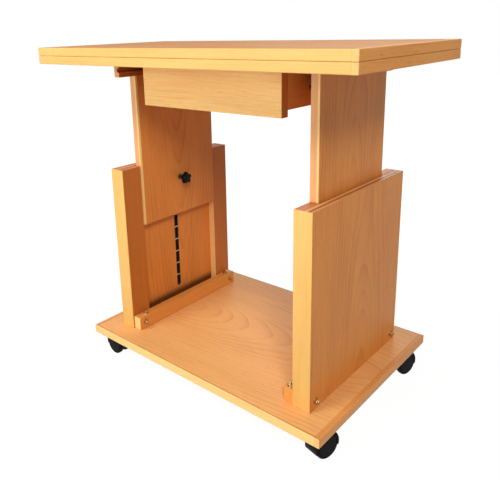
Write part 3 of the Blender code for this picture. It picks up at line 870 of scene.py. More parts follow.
@dataclass
class Boards:
    """All wooden nodes of the frame.

    Attributes:
        band: Depth of the pale bands on front and back edges.
        seam: Width of the darker line behind the front and back bands of the base, part glue line and part
            painted shade at the arris.
        lipping: Width of the solid lippings at the ends of base and leaves.
        bare: Width of an edge that a face's veneer leaves bare.
        thin: Depth of a band that is only a skin.
        inner_face: Thickness of the inner layer of an outer board.
        outer_face: Thickness of its outer layer.
        post: Depth of the posts beside it.
        foot: Height of the shadow at its foot.
        foot_depth: Depth of that shadow from the inner face.
        fade: Height over which it fades out.
        seed_step: How far the seeds of left and right lie from the middle.
    """

    band: float = 1.6 * MM
    seam: float = 1.5 * MM
    lipping: float = 10 * MM
    bare: float = 5 * MM
    thin: float = 0.4 * MM
    inner_face: float = 8 * MM
    outer_face: float = 4.5 * MM
    post: float = 49.5 * MM
    foot: float = 42 * MM
    foot_depth: float = 17 * MM
    fade: float = 22 * MM
    seed_step: float = 2.3

    def edge(self, along: Axis, across: Axis, wood: Wood) -> Zone:
        """A thin band at the front and the back of a board."""
        return Zone(Axis.Y, Ends.BOTH, self.band, wood, Grain(along, across, (0.3, 0.2, 0.1), 0.02))

    def flat(self, piece: str, grain: Grain) -> Board:
        """A level board with lippings at its ends and pale bands at front and back.

        Args:
            piece: Name of the node.
            grain: How its faces were sawn.

        Returns:
            The board.
        """
        is_base = piece == "base_board"
        wood, edge = (HONEY, PALE) if is_base else (MATT_HONEY, TOP_EDGE)
        length = Grain(Axis.Y, Axis.X, (0.33, 0, 0.6), 0.02)
        lipping = Zone(Axis.X, Ends.BOTH, self.lipping, LIPPING, length)
        front = self.edge(Axis.X, Axis.Z, edge)
        # Darker line behind the base's bands: a glue line and painted shade at the arris.
        seam = replace(front, width=self.band + self.seam, wood=SHADY)
        corner = replace(lipping, wood=LIPPING_END, within=(front,))
        return Board(piece, wood, grain, (lipping, *((seam,) if is_base else ()), front, corner))

    def upright(self, piece: str, grain: Grain, wood: Wood = UPRIGHT, edge: Wood = PALE) -> Board:
        """A standing board with bands at front and back, and faces of veneer that show on its top.

        Args:
            piece: Name of the node.
            grain: How its faces were sawn.
            wood: Wood of its faces.
            edge: Wood of its bands.

        Returns:
            The board.
        """
        band = replace(self.edge(Axis.Z, Axis.X, edge), width=self.thin)
        level = Grain(Axis.Y, Axis.X, (0.3, 0.1, 0.2), 0.02, grain.seed)
        core = Zone(Axis.Z, Ends.BOTH, self.thin, SHADY, level)
        face = Zone(Axis.X, Ends.BOTH, self.band, PANEL_EDGE, level, (core,))
        return Board(piece, wood, grain, (band, core, face))

    def outer_board(self, name: str) -> Board:
        """The outer board of a support, with its layers on the top, a painted shade line on the top's inner
        edge and a painted shadow at its foot.

        Args:
            name: Name of the side.

        Returns:
            The board.
        """
        side = SIDES[name]
        inner, outer = (Ends.LOW, Ends.HIGH)[::side]
        grain = Grain(Axis.Z, Axis.Y, (side * 0.2, 0.04, 0.3), 0.1, 11 + self.seed_step * side)
        board = self.upright(f"{name}_outer_board", grain)
        band, core, face = board.zones
        core = replace(core, wood=CORE)
        inner_face = replace(face, ends=inner, width=self.inner_face, within=(core,))
        outer_face = replace(inner_face, ends=outer, width=self.outer_face)
        # Painted shade: a dark line on the top's inner edge, where the gap to the sliding panel lies in
        # shadow.
        seam = replace(inner_face, width=self.band, wood=PAINTED_SHADE)
        beside_posts = replace(band, width=self.post, wood=PANEL_EDGE, within=(seam,))
        # Painted shadow on the inner face near its foot, fading out upwards.
        skin = Zone(Axis.X, inner, self.foot_depth, PAINTED_SHADE, grain)
        foot = replace(skin, axis=Axis.Z, ends=Ends.LOW, width=self.foot, within=(skin,), fade=self.fade)
        return replace(board, zones=(foot, band, core, inner_face, outer_face, seam, beside_posts))

    def panel(self, name: str) -> Board:
        """A sliding panel whose front and back edges carry a painted highlight along one corner.

        Args:
            name: Name of the side.

        Returns:
            The board.
        """
        side = SIDES[name]
        grain = Grain(Axis.Z, Axis.Y, (side * 0.18, 0.015, 0.55), 0.11, 17 + self.seed_step * side)
        board = self.upright(f"{name}_sliding_panel", grain, edge=PANEL_EDGE)
        band, core, face = board.zones
        skin = replace(face, ends=Ends.HIGH, within=())
        # Painted highlight on the left panel: a bright strip on the front of its inner face, where the
        # rounded corner catches the light.
        inner_corner_highlight = replace(band, ends=Ends.LOW, width=self.bare, wood=POST_EDGE, within=(skin,))
        # Painted highlight: a paler strip on the front and back edges next to the high-X face.
        arris_highlight = replace(face, ends=Ends.HIGH, width=self.bare, wood=PALE, within=(band,))
        zones = (band, core, face, arris_highlight)
        return replace(board, zones=(inner_corner_highlight, *zones) if side < 0 else zones)

    @staticmethod
    def stick(
        piece: str, seed: float, wood: Wood = SOLID, along: Axis = Axis.Y, across: Axis = Axis.Z
    ) -> Board:
        """A plain piece of solid wood, whose fibres run to the back unless it is told otherwise."""
        return Board(piece, wood, Grain(along, across, (0.1, 0.3, 0.2), 0.03, seed))

    def turned_stick(self, stick: Board, side: int, pale: Wood, plain_or_shade: Wood) -> Board:
        """A stick with two unlike ends, the pale one in front on the left and behind on the right; on a bar
        the other end is dark and paints shade.

        Args:
            stick: The plain stick.
            side: -1 on the left, 1 on the right.
            pale: Wood of its pale end.
            plain_or_shade: Wood of its other end, plain on a rail and on a bar a dark wood that paints
                shade.

        Returns:
            The board.
        """
        near, far = (Ends.HIGH, Ends.LOW)[::side]
        light = Zone(Axis.Y, near, self.thin, pale, stick.grain)
        return replace(stick, zones=(light, replace(light, ends=far, wood=plain_or_shade)))

    def boards(self) -> Iterable[Board]:
        """Lists the wooden nodes with their grain.

        Returns:
            The boards, one after another.
        """
        yield self.flat("base_board", Grain(Axis.X, Axis.Y, (-0.1, 0.02, 0.02), 0.16, 3.1))
        yield self.flat("lower_leaf", Grain(Axis.X, Axis.Y, (0.1, -0.05, 0.62), 0.12, 8.4))
        yield self.flat("upper_leaf", Grain(Axis.X, Axis.Y, (-0.05, -0.1, 0.64), 0.12, 5.7))
        for name, side in SIDES.items():
            shift = self.seed_step * side
            yield self.outer_board(name)
            yield self.panel(name)
            for place, seed, back in (("front", 23, -0.3), ("rear", 29, 0.33)):
                grain = Grain(Axis.Z, Axis.Y, (side * 0.2, back, 0.2), 0.05, seed + shift)
                yield self.upright(f"{name}_{place}_post", grain, POST, POST_EDGE)
            rail = self.stick(f"{name}_base_rail", 31 + shift)
            yield self.turned_stick(rail, side, PALE, SOLID)
            bar = self.stick(f"{name}_leaf_support_bar", 37 + shift, DARK)
            # On the bars the dark other end paints shade, at the front of the right bar.
            yield self.turned_stick(bar, side, PANEL_EDGE, PAINTED_SHADE)
            # The runner rails are near-black all over: painted shade beside the drawer, under the top.
            yield self.stick(f"{name}_runner_rail", 41 + shift, PAINTED_SHADE)
            yield self.stick(f"drawer_{name}_side", 43 + shift)
        upright = Grain(Axis.Z, Axis.Y, (0.3, 0.1, 0.2), 0.02)
        # Darker ends of the drawer front: edge veneer that partly paints the shade under the top.
        ends = Zone(Axis.X, Ends.BOTH, self.band / 2, SHADY, upright)
        front = Grain(Axis.X, Axis.Z, (0.2, -0.1, 0.4), 0.04, 47.0)
        yield Board("drawer_front", DRAWER_FACE, front, (ends,))
        yield self.stick("drawer_back", 53.0, along=Axis.X)
        yield self.stick("drawer_floor", 59.0, across=Axis.X)

    def dress(self) -> None:
        """Dresses every wooden node."""
        for board in self.boards():
            board.paint().apply_to(bpy.data.objects[board.piece])
            LOG.info("wood %s", board.piece)


@dataclass
class EdgeBands:
    """Pale strips over the front and rear edges of the supports, which cover board and post together.

    Attributes:
        thick: Thickness of a strip.
        sunk: How far a strip sits in the rounded edges.
        ease: Rounding of its long edges.
        seed: Seed in the middle of the four strips.
    """

    thick: float = 0.9 * MM
    sunk: float = 0.3 * MM
    ease: float = 0.5 * MM
    seed: float = 61.0

    def build(self) -> None:
        """Models and dresses the four strips."""
        for name, side in SIDES.items():
            board = f"{name}_outer_board"
            low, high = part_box(board)
            x = sorted((face_x(board, side), face_x(f"{name}_front_post", -side)))
            for place, edge, outward in (("front", low.y, -1), ("rear", high.y, 1)):
                y = sorted((edge - outward * self.sunk, edge + outward * self.thick))
                strip = Bench.block(f"{name}_{place}_edge_band", (x[0], y[0], low.z), (x[1], y[1], high.z))
                Bench.round_over(strip, self.ease)
                Bench.smooth(strip)
                seed = self.seed + side + outward / 3
                grain = Grain(Axis.Z, Axis.X, (side * 0.3, edge, 0.2), 0.02, seed)
                enter(strip, Board(strip.name, STRIP, grain).paint(), "base", Slot.BOARD)


@dataclass
class NutSet:
    """A washer, a hexagon nut and the thread end that stands out of it.

    Attributes:
        washer_radius: Radius of the washer.
        washer: Thickness of the washer.
        ease: Rounding of its edges.
        nut_radius: Radius of the nut over its corners.
        nut: Thickness of the nut.
        sunk: How far the nut sits in the washer.
        chamfer: Height of the chamfer at the nut's corners.
        bolt_radius: Radius of the thread.
        tip: Thread beyond the nut.
        pitch: Thread pitch.
    """

    washer_radius: float = 6.5 * MM
    washer: float = 1.0 * MM
    ease: float = 0.2 * MM
    nut_radius: float = 5.7 * MM
    nut: float = 5.0 * MM
    sunk: float = 0.05 * MM
    chamfer: float = 0.9 * MM
    bolt_radius: float = 3.0 * MM
    tip: float = 2.5 * MM
    pitch: float = 0.8 * MM

    def thread(self, low: float, high: float) -> Profile:
        """Profile of a thread between two heights, with a chamfered end.

        Args:
            low: Where the thread starts.
            high: Where it ends.

        Returns:
            Radius and height of each step.
        """
        root = self.bolt_radius - 0.55 * self.pitch
        steps = [(root, low)]
        height = low
        while height + self.pitch < high - 0.3 * self.pitch:
            crest = height + 0.42 * self.pitch
            steps += [(self.bolt_radius, crest), (self.bolt_radius, crest + 0.16 * self.pitch)]
            height += self.pitch
            steps.append((root, height))
        return steps + [(root, high - 0.2 * self.pitch), (root - 0.3 * self.pitch, high)]

    def model(self) -> Piece:
        """Models the set on the plane z = 0.

        Returns:
            The new piece.
        """
        washer = Bench.turned("washer", rounded_rim(self.washer_radius, self.ease, 0, self.washer, 1), 40)
        low, top = self.washer - self.sunk, self.washer + self.nut
        nut = Bench.rod(self.nut_radius, low, top, 6)
        flat, wide = self.nut_radius * 0.84, self.nut_radius * 1.01
        dome = [(flat, low), (wide, low + self.chamfer), (wide, top - self.chamfer), (flat, top)]
        Bench.boolean(nut, Cut.SHARE, Bench.turned("dome", dome, 48))
        end = Bench.turned("thread_end", self.thread(top - self.nut / 2, top + self.tip), 28)
        whole = Bench.joined("nut_set", [nut, washer, end])
        Bench.smooth(whole, 28)
        return whole


@dataclass
class Fasteners:
    """Cross bolts through the supports, and the nuts that stand on the base rails.

    Attributes:
        nuts: The set of washer, nut and thread end.
        front_nuts: From the front end of each base rail to the first nut on its top.
        rear_nut: From its rear end to the second one.
    """

    nuts: NutSet = field(default_factory=NutSet)
    front_nuts: tuple[float, float] = (27 * MM, 7.8 * MM)
    rear_nut: float = 22 * MM

    def build(self) -> None:
        """Models and dresses all fasteners of the supports."""
        master = self.nuts.model()
        paint = ZINC.paint("zinc_plate")
        for name, side in SIDES.items():
            rail = f"{name}_base_rail"
            for place in ("front", "rear"):
                node = f"{name}_{place}_cross_bolt"
                start, end = middle(node), middle(node)
                start.x, end.x = face_x(rail, -side), face_x(f"{name}_outer_board", side)
                enter(self.cross_bolt(f"{node}_set", master, start, end), paint, "base", Slot.STEEL, node)
            low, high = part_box(rail)
            first = low.y + self.front_nuts[side > 0]
            for place, y in (("front", first), ("rear", high.y - self.rear_nut)):
                top = Matrix.Translation((middle(rail).x, y, high.z))
                enter(Bench.copy_at(master, f"{name}_{place}_rail_nut", top), paint, "base", Slot.STEEL)
        Bench.discard(master)

    def cross_bolt(self, name: str, master: Piece, start: Vector, end: Vector) -> Piece:
        """One bolt across a support, with a nut set on each end.

        Args:
            name: Name of the piece.
            master: The nut set.
            start: Where it leaves the rail.
            end: Where it leaves the outer board.

        Returns:
            The bolt.
        """
        way = end - start
        frames = (frame_along(start, -way), frame_along(end, way))
        shank = Bench.rod(self.nuts.bolt_radius, 0, way.length, 24)
        Bench.smooth(shank)
        Bench.settle(shank, frame_along(start, way))
        return Bench.joined(name, [*(Bench.copy_at(master, "end", frame) for frame in frames), shank])


@dataclass
class Clamp:
    """Star knob, threaded stud and threaded insert of each sliding panel.

    Attributes:
        hub_radius: Radius of the knob's hub.
        hub: Length of the hub.
        flare: How much the hub widens towards the star.
        star: Length of the star.
        radius: Radius of the star over its lobes.
        edge: Rounding of the star's edges.
        lobe: Depth of the hollows between the lobes.
        lobes: Number of lobes.
        facets: Points round each lobe.
        stud_radius: Radius of the stud.
        pitch: Thread pitch of the stud.
        play: Between the stud and the insert.
        flange: Thickness of the insert's flange.
        brim: How far the flange stands out.
        ease: Rounding of the flange's edges.
    """

    hub_radius: float = 6.5 * MM
    hub: float = 7 * MM
    flare: float = 3.2 * MM
    star: float = 9 * MM
    radius: float = 14 * MM
    edge: float = 2.2 * MM
    lobe: float = 3.6 * MM
    lobes: int = 5
    facets: int = 12
    stud_radius: float = 3.0 * MM
    pitch: float = 1.0 * MM
    play: float = 0.2 * MM
    flange: float = 1 * MM
    brim: float = 2 * MM
    ease: float = 0.25 * MM

    def knob(self) -> Piece:
        """Models a knob that hangs from the plane z = 0 along -Z.

        Returns:
            The new piece.
        """
        hub = self.hub_radius
        star = -self.hub
        crown = star - self.star
        profile = [(hub - 0.5 * MM, 0), (hub, -0.5 * MM)]
        profile += [(hub + self.flare * 0.8, star + 1 * MM), (hub + self.flare, star)]
        profile += rounded_rim(self.radius, self.edge, star, crown)
        profile += [(hub + 1.2 * MM, crown), (hub + 0.6 * MM, crown + 0.7 * MM), (hub, crown + 0.7 * MM)]
        profile += [(hub - 0.5 * MM, crown + 0.1 * MM), (1 * MM, crown)]
        knob = Bench.turned("knob", profile, self.facets * self.lobes)
        self.hollow(knob, star + 0.5 * MM)
        Bench.smooth(knob, 50)
        return knob

    def hollow(self, knob: Piece, below: float) -> None:
        """Draws the star in between its lobes.

        Args:
            knob: The turned knob.
            below: The star lies below this height.
        """
        mesh = knob.data
        keep = self.hub_radius + 1.4 * MM
        steps = self.facets
        Bench.pick(knob)
        for offset in range(1, steps // 2 + 1):
            share = 1 + self.lobe / 2 / self.radius * (math.cos(2 * math.pi * offset / steps) - 1)
            for item in (*mesh.vertices, *mesh.edges, *mesh.polygons):
                item.select = False
            for vertex in mesh.vertices:
                turn = math.atan2(vertex.co.y, vertex.co.x) / (2 * math.pi) * self.lobes * steps
                part = round(turn) % steps
                outside = math.hypot(vertex.co.x, vertex.co.y) > keep
                vertex.select = outside and vertex.co.z < below and min(part, steps - part) == offset
            bpy.ops.object.mode_set(mode="EDIT")
            bpy.ops.transform.resize(value=(share, share, 1), center_override=(0, 0, 0))
            bpy.ops.object.mode_set(mode="OBJECT")

    def stud(self) -> Piece:
        """Models the threaded stud, which starts at the plane z = 0.

        Returns:
            The new piece.
        """
        low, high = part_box("left_clamp_stud")
        thread = NutSet(bolt_radius=self.stud_radius, pitch=self.pitch)
        stud = Bench.turned("stud", thread.thread(0, high.x - low.x), 28)
        Bench.smooth(stud, 28)
        return stud

    def insert(self) -> Piece:
        """Models the threaded insert, whose flange starts at the plane z = 0.

        Returns:
            The new piece.
        """
        low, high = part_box("left_threaded_insert")
        length, wide = high.x - low.x, (high.z - low.z) / 2
        body = wide - self.brim
        profile = rounded_rim(wide, self.ease, 0, self.flange, 1)
        insert = Bench.turned("insert", [*profile, (body, self.flange), (body, length)], 48)
        bore = Bench.rod(self.stud_radius + self.play, -self.flange, 2 * length)
        Bench.boolean(insert, Cut.REMOVE, bore)
        Bench.smooth(insert, 30)
        return insert

    def build(self) -> None:
        """Models and dresses both clamps."""
        knob, stud, insert = self.knob(), self.stud(), self.insert()
        black, steel = BLACK.paint("knob_plastic"), BURNISHED.paint("stud_steel")
        parts = (
            ("knob", "star_knob", "{}_knob", 1, knob, black, Slot.PLASTIC),
            ("stud", "clamp_stud", "{}_stud", -1, stud, steel, Slot.STEEL),
            ("insert", "threaded_insert", "carriage", -1, insert, BRONZE.paint("insert_bronze"), Slot.BRASS),
        )
        for name, side in SIDES.items():
            seat = middle(f"{name}_clamp_stud")
            for short, kind, body, end, master, paint, slot in parts:
                node = f"{name}_{kind}"
                seat.x = face_x(node, side * end)
                piece = Bench.copy_at(master, f"{name}_{short}", frame_along(seat, (side, 0, 0)))
                enter(piece, paint, body.format(name), slot, node)
        Bench.discard(knob, stud, insert)


@dataclass
class ScrewHead:
    """A screw head with a cross recess.

    Attributes:
        radius: Radius of the head.
        high: Height of the head over its seat.
        sunk: Part of the head below the seat.
    """

    radius: float
    high: float
    sunk: float = 0.2 * MM

    def model(self) -> Piece:
        """Models the head on the plane z = 0.

        Returns:
            The new piece.
        """
        wide, high = self.radius, self.high
        profile = [(wide * 0.9, -self.sunk), (wide, 0), (wide, high * 0.35)]
        profile += [(wide * 0.93, high * 0.65), (wide * 0.75, high * 0.9), (wide * 0.45, high)]
        head = Bench.turned("screw_head", profile, 32)
        arm, thin, deep = wide * 0.55, wide * 0.13, high * 0.35
        for x, y in ((arm, thin), (thin, arm)):
            Bench.boolean(head, Cut.REMOVE, Bench.block("recess", (-x, -y, deep), (x, y, 2 * high)))
        Bench.smooth(head, 30)
        return head

    @staticmethod
    def joined_at(master: Piece, name: str, seats: Iterable[Point], up: int) -> Piece:
        """Copies a head to several seats, facing up, 1, or down, -1, and joins the copies."""
        heads = [Bench.copy_at(master, "head", frame_along(seat, (0, 0, up))) for seat in seats]
        return Bench.joined(name, heads)


@dataclass
class Castors:
    """Hooded castors with two wheels each.

    Attributes:
        joints: Joints of the frame by name, which say where the castors turn.
        web: Thickness of the hood's middle wall.
        gap: Between a wheel and the hood.
        width: Width of a wheel.
        ease: Rounding of a wheel's edges.
        fender: Thickness of the hood round the wheels.
        shoulder: Rounding of the hood's edges.
        below_axle: How far the hood reaches below the axle.
        neck_radius: Radius of the neck.
        axle_radius: Radius of the axle.
        pin_radius: Radius of the kingpin.
        play: Between a pin and its bore.
        inset: From the edges of a castor's plate to its screws.
        plate: Thickness of the plate.
        radius: Radius of a wheel, from the joints.
        trail: From kingpin to axle, from the joints.
    """

    joints: dict[str, dict[str, Any]]
    web: float = 7 * MM
    gap: float = 0.8 * MM
    width: float = 11.7 * MM
    ease: float = 3.5 * MM
    fender: float = 1.7 * MM
    shoulder: float = 2.6 * MM
    below_axle: float = 8 * MM
    neck_radius: float = 12 * MM
    axle_radius: float = 3 * MM
    pin_radius: float = 4 * MM
    play: float = 0.2 * MM
    inset: float = 6 * MM
    plate: float = 2.5 * MM
    radius: float = field(init=False)
    trail: float = field(init=False)

    def __post_init__(self) -> None:
        """Measures the first castor."""
        axle, pivot = (self.spot(f"{CASTORS[0]}_{kind}") for kind in ("left_roll", "swivel"))
        self.radius, self.trail = axle.z, (axle.xy - pivot.xy).length

    @property
    def half(self) -> float:
        """Half the width of a hood."""
        return self.web / 2 + self.gap + self.width

    def spot(self, joint: str) -> Vector:
        """Place of a joint."""
        return Vector(self.joints[joint]["pos_m"])

    def axle(self, end: int = 1) -> Matrix:
        """Frame in the middle of a hood's axle, towards one end."""
        return frame_along((0, self.trail, self.radius), (end, 0, 0))

    def wheel(self) -> Piece:
        """Models a wheel that stands on the plane z = 0 with its outer face up.

        Returns:
            The new piece.
        """
        wide = self.width
        disc = self.radius * 0.82
        bore = self.axle_radius + self.play
        profile = [(bore, 0.0), *rounded_rim(self.radius, self.ease, 0, wide)]
        profile += [(disc + 0.9 * MM, wide), (disc + 0.5 * MM, wide - 1.1 * MM), (disc, wide - 1.1 * MM)]
        profile += [(disc - 0.5 * MM, wide - 0.3 * MM), (disc * 0.6, wide - 0.2 * MM), (0.5 * MM, wide)]
        wheel = Bench.turned("wheel", profile, 72)
        Bench.boolean(wheel, Cut.REMOVE, Bench.rod(bore, -1 * MM, wide * 0.7 + 0.3 * MM))
        Bench.smooth(wheel, 32)
        return wheel

    def hood(self) -> Piece:
        """Models a hood with its kingpin on the Z axis and its axle along X.

        Returns:
            The new piece.
        """
        inner, half = self.radius + self.gap, self.half
        barrel = rounded_rim(inner + self.fender, self.shoulder, -half, half, 5)
        hood = Bench.settle(Bench.turned("hood", barrel, 96), self.axle())
        self.trim(hood, self.radius - self.below_axle)
        for end in SIDES.values():
            room = Bench.rod(inner, self.web / 2, 2 * half, 96)
            Bench.boolean(hood, Cut.REMOVE, Bench.settle(room, self.axle(end)))
        bore = Bench.rod(self.axle_radius + self.play, -half, half)
        Bench.boolean(hood, Cut.REMOVE, Bench.settle(bore, self.axle()))
        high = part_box(f"{CASTORS[0]}_castor_hood")[1].z
        Bench.boolean(hood, Cut.ADD, self.neck(high))
        pin_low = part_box(f"{CASTORS[0]}_castor_plate")[0].z - 0.3 * MM
        Bench.boolean(hood, Cut.REMOVE, Bench.rod(self.pin_radius + self.play, pin_low, high + 5 * MM))
        Bench.round_over(hood, 0.35 * MM)
        Bench.smooth(hood, 40)
        return hood

    def neck(self, high: float) -> Piece:
        """Models the flared neck, hollowed where the wheels run.

        Args:
            high: Top of the neck above the floor.

        Returns:
            The neck.
        """
        wide = self.neck_radius
        slim = wide - 1.5 * MM
        profile = [(wide, self.radius), (wide, high - 4 * MM), (slim, high - 2.5 * MM)]
        profile += [(slim, high - 0.6 * MM), (slim - 0.6 * MM, high)]
        neck = Bench.turned("neck", profile, 56)
        hollow = Bench.rod(self.radius + self.gap + self.fender / 2, -2 * self.half, 2 * self.half, 96)
        Bench.boolean(neck, Cut.REMOVE, Bench.settle(hollow, self.axle()))
        return neck

    @staticmethod
    def trim(hood: Piece, low: float) -> None:
        """Cuts away everything below a height and closes the cut.

        Args:
            hood: The hood's barrel.
            low: Height of the cut.
        """
        Bench.pick(hood)
        bpy.ops.object.mode_set(mode="EDIT")
        bpy.ops.mesh.select_all(action="SELECT")
        bpy.ops.mesh.bisect(plane_co=(0, 0, low), plane_no=(0, 0, 1), use_fill=True, clear_inner=True)
        Bench.face_outwards()

    def build(self) -> None:
        """Models and dresses the four castors, with a screw in each corner of their plates."""
        wheel, hood = self.wheel(), self.hood()
        screw = ScrewHead(3.1 * MM, 1.7 * MM).model()
        black, tread = BLACK.paint("hood_plastic"), TREAD.paint("wheel_plastic")
        zinc = ZINC.paint("screw_plate")
        for name in CASTORS:
            pivot = self.spot(f"{name}_swivel")
            axis = Vector(self.joints[f"{name}_left_roll"]["axis"])
            yaw = Matrix.Rotation(math.atan2(axis.y, axis.x), 4, "Z")
            cover = Bench.copy_at(hood, f"{name}_hood", Matrix.Translation((pivot.x, pivot.y, 0)) @ yaw)
            enter(cover, black, f"{name}_castor", Slot.PLASTIC, f"{name}_castor_hood")
            for place, side in SIDES.items():
                start = self.spot(f"{name}_{place}_roll") + axis * side * (self.web / 2 + self.gap)
                tyre = Bench.copy_at(wheel, f"{name}_{place}_tyre", frame_along(start, axis * side))
                enter(tyre, tread, f"{name}_{place}_wheel", Slot.TREAD, f"{name}_castor_{place}_wheel")
            low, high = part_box(f"{name}_castor_plate")
            x, y = ((low[i] + self.inset, high[i] - self.inset) for i in (0, 1))
            seats = [(across, along, high.z - self.plate) for across in x for along in y]
            screws = ScrewHead.joined_at(screw, f"{name}_plate_screws", seats, -1)
            enter(screws, zinc, "base", Slot.STEEL)
        Bench.discard(wheel, hood, screw)


@dataclass
class HingeScrews:
    """Screws that hold the hinge flaps, flush with the flaps.

    Attributes:
        proud: Height of the heads over the flaps.
        deep: Part of a head inside its flap.
        radius: Radius of a head.
        spread: From the middle screw to the outer ones.
        inset: From the front edge of a flap to its screws.
        gap: From the seam between the leaves to a flap's face.
    """

    proud: float = 0.05 * MM
    deep: float = 0.6 * MM
    radius: float = 2.6 * MM
    spread: float = 17 * MM
    inset: float = 8 * MM
    gap: float = 0.15 * MM

    def build(self) -> None:
        """Models and dresses the screws of both hinges."""
        master = ScrewHead(self.radius, self.proud, self.deep).model()
        paint = GILT.paint("hinge_screw_brass")
        for name in SIDES:
            for kind, body, up in (("fixed", "carriage", 1), ("moving", "leaf", -1)):
                flap = f"{name}_hinge_{kind}_flap"
                x, y = middle(flap).x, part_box(flap)[0].y + self.inset
                z = middle(f"{name}_hinge_pin").z - up * self.gap
                seats = [(x + i * self.spread, y, z) for i in (-1, 0, 1)]
                screws = ScrewHead.joined_at(master, f"{name}_hinge_{kind}_screws", seats, up)
                enter(screws, paint, body, Slot.BRASS)
        Bench.discard(master)


@dataclass
class Hardware:
    """Metal nodes of the frame that keep their shape.

    Attributes:
        face: Depth of a strip's face before its pockets.
        first_rung: From the lower end of a strip to the middle of its lowest rung.
        rung_pitch: From rung to rung.
        rung: Thickness of a rung.
    """

    face: float = 0.7 * MM
    first_rung: float = 28.7 * MM
    rung_pitch: float = 31 * MM
    rung: float = 2 * MM

    def strip_paint(self, name: str, side: int) -> Paint:
        """Bright steel on the rungs of an index strip and black paint on the rest, which also paints the
        shade in its pockets.

        Args:
            name: Name of the strip's node.
            side: -1 on the left, 1 on the right.

        Returns:
            The material.
        """
        front = face_x(name, -side) * side
        paint = Paint(f"steel_{name}")
        place = paint.place()
        cloud = paint.noise([p * 160 for p in place], 3.0)
        deep = (place[0] * side - front).step(self.face * 2, self.face * 3)
        turns = (place[2] - (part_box(name)[0].z + self.first_rung)) * (1 / self.rung_pitch)
        off_rung = abs((turns + 0.5).math("FRACT") - 0.5) * self.rung_pitch
        # Black paint off the rungs and deep in the pockets, which partly paints the shade that falls there.
        black_and_shade = deep | off_rung.step(self.rung * 0.5, self.rung * 0.6)
        bright = paint.mix(cloud.step(0.4, 0.75) * 0.6, srgb(226, 196, 160), srgb(188, 152, 114))
        paint.set(
            Base_Color=paint.mix(black_and_shade, bright, srgb(12, 10, 9)),
            Roughness=0.4 + cloud * 0.15 + black_and_shade * 0.3,
            Metallic=0.4 - black_and_shade * 0.4,
        )
        paint.bump(cloud, 0.02 * MM, 0.5)
        return paint

    def dress(self) -> None:
        """Dresses strips, castor plates, axles and hinges."""
        steel = ZINC.paint("node_plate")
        brass = GILT.paint("node_brass")
        for name, side in SIDES.items():
            strip = f"{name}_index_strip"
            self.strip_paint(strip, side).apply_to(bpy.data.objects[strip])
            for kind in ("fixed", "moving"):
                brass.apply_to(bpy.data.objects[f"{name}_hinge_{kind}_flap"])
            steel.apply_to(bpy.data.objects[f"{name}_hinge_pin"])
        for name in CASTORS:
            for part in ("plate", "axle"):
                steel.apply_to(bpy.data.objects[f"{name}_castor_{part}"])


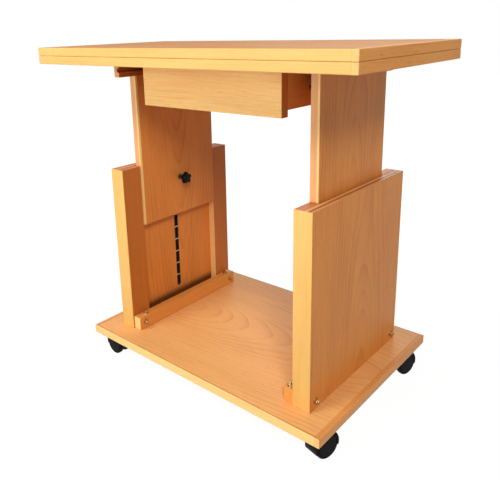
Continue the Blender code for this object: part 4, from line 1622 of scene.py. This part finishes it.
@dataclass
class Studio:
    """Floor, white surroundings, soft lights and the camera of the photo.

    Attributes:
        ambient: Strength of the surroundings as light.
        floor_white: Share of plain white in the floor as the camera sees it.
        floor_glow: Strength of that white.
        floor_grey: Grey of the floor's matt paint.
        floor_size: Side of the floor.
        shadow_end: From the middle to where the shadow starts to fade, and to where it ends.
        lamps: Name, place, side and power in watts of each square light.
        target: Height of the point that the lights face.
        eye: Place of the camera.
        forward: Where the camera looks.
        right: Its direction to the right.
        lens: Its focal length in millimetres.
        sensor: Width of its sensor in millimetres.
        shift: Shift of its picture to the right and up.
    """

    ambient: float = 0.22
    floor_white: float = 0.88
    floor_glow: float = 1.09
    floor_grey: float = 0.6
    floor_size: float = 14.0
    shadow_end: tuple[float, float] = (0.5, 1.1)
    lamps: tuple[tuple[str, Point, float, float], ...] = (
        ("key_light", (-1.4, -3.2, 0.95), 1.6, 58.0),
        ("top_light", (-0.8, -2.2, 3.4), 1.5, 44.0),
        ("side_light", (2.1, -2.1, 2.5), 0.8, 62.0),
        ("back_light", (-1.4, 3.2, 0.8), 1.6, 24.0),
    )
    target: float = 0.4
    eye: Point = (0.7106, -0.87475, 0.7358)
    forward: Point = (-0.6439, 0.7166, -0.2683)
    right: Point = (0.7488, 0.6621, -0.0286)
    lens: float = 41.0
    sensor: float = 36.0
    shift: tuple[float, float] = (0.06, -0.13)

    def build(self) -> None:
        """Sets up everything round the table."""
        bpy.context.scene.view_settings.view_transform = "Standard"
        self.build_world()
        self.build_floor()
        self.build_lamps()
        self.build_camera()

    def build_world(self) -> None:
        """White surroundings that light the table gently and look fully white."""
        world = bpy.data.worlds.new("studio")
        bpy.context.scene.world = world
        world.use_nodes = True
        sheet = NodeSheet(world.node_tree)
        strength = self.ambient + (1 - self.ambient) * sheet.any_seen_ray()
        background = world.node_tree.nodes["Background"]
        background.inputs["Color"].default_value = (1, 1, 1, 1)
        sheet.feed(background.inputs["Strength"], strength)

    def build_floor(self) -> None:
        """A pale floor that keeps a faint shadow."""
        Bench.clear()
        bpy.ops.mesh.primitive_plane_add(size=self.floor_size, location=(0, 0, 0))
        floor = bpy.context.object
        floor.name = "floor"
        paint = Paint("floor_white")
        matt = paint.node("ShaderNodeBsdfDiffuse", None, {"Color": (*[self.floor_grey] * 3, 1)})
        white = paint.node("ShaderNodeEmission", None, {"Color": (1, 1, 1, 1), "Strength": self.floor_glow})
        place = paint.place()
        away = (place[0] * place[0] + place[1] * place[1]) ** 0.5
        plain = self.floor_white + (1 - self.floor_white) * away.step(*self.shadow_end)
        share = paint.any_seen_ray() * plain
        surface = paint.node("ShaderNodeMixShader", None, {0: share, 1: matt, 2: white})
        paint.feed(paint.tree.nodes["Material Output"].inputs["Surface"], surface)
        paint.apply_to(floor)

    def build_lamps(self) -> None:
        """Square soft lights that face the table."""
        for name, place, size, power in self.lamps:
            data = bpy.data.lights.new(name, "AREA")
            data.size = size
            data.energy = power
            lamp = bpy.data.objects.new(name, data)
            bpy.context.scene.collection.objects.link(lamp)
            lamp.matrix_world = frame_along(place, Vector(place) - Vector((0, 0, self.target)))

    def build_camera(self) -> None:
        """The camera at the photo's viewing angle."""
        forward = Vector(self.forward).normalized()
        right = Vector(self.right).normalized()
        up = right.cross(forward)
        data = bpy.data.cameras.new("camera")
        data.lens = self.lens
        data.sensor_width = self.sensor
        data.shift_x, data.shift_y = self.shift
        camera = bpy.data.objects.new("camera", data)
        bpy.context.scene.collection.objects.link(camera)
        turn = Matrix((right, up, -forward)).transposed().to_4x4()
        camera.matrix_world = Matrix.Translation(self.eye) @ turn
        bpy.context.scene.camera = camera


def main() -> None:
    """Builds the looks of the table in order."""
    logging.basicConfig(level=logging.INFO, format="%(message)s")
    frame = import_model()
    Studio().build()
    Boards().dress()
    Hardware().dress()
    EdgeBands().build()
    Fasteners().build()
    Clamp().build()
    Castors({joint["name"]: joint for joint in frame["joints"]}).build()
    HingeScrews().build()


if __name__ == "__main__":
    main()
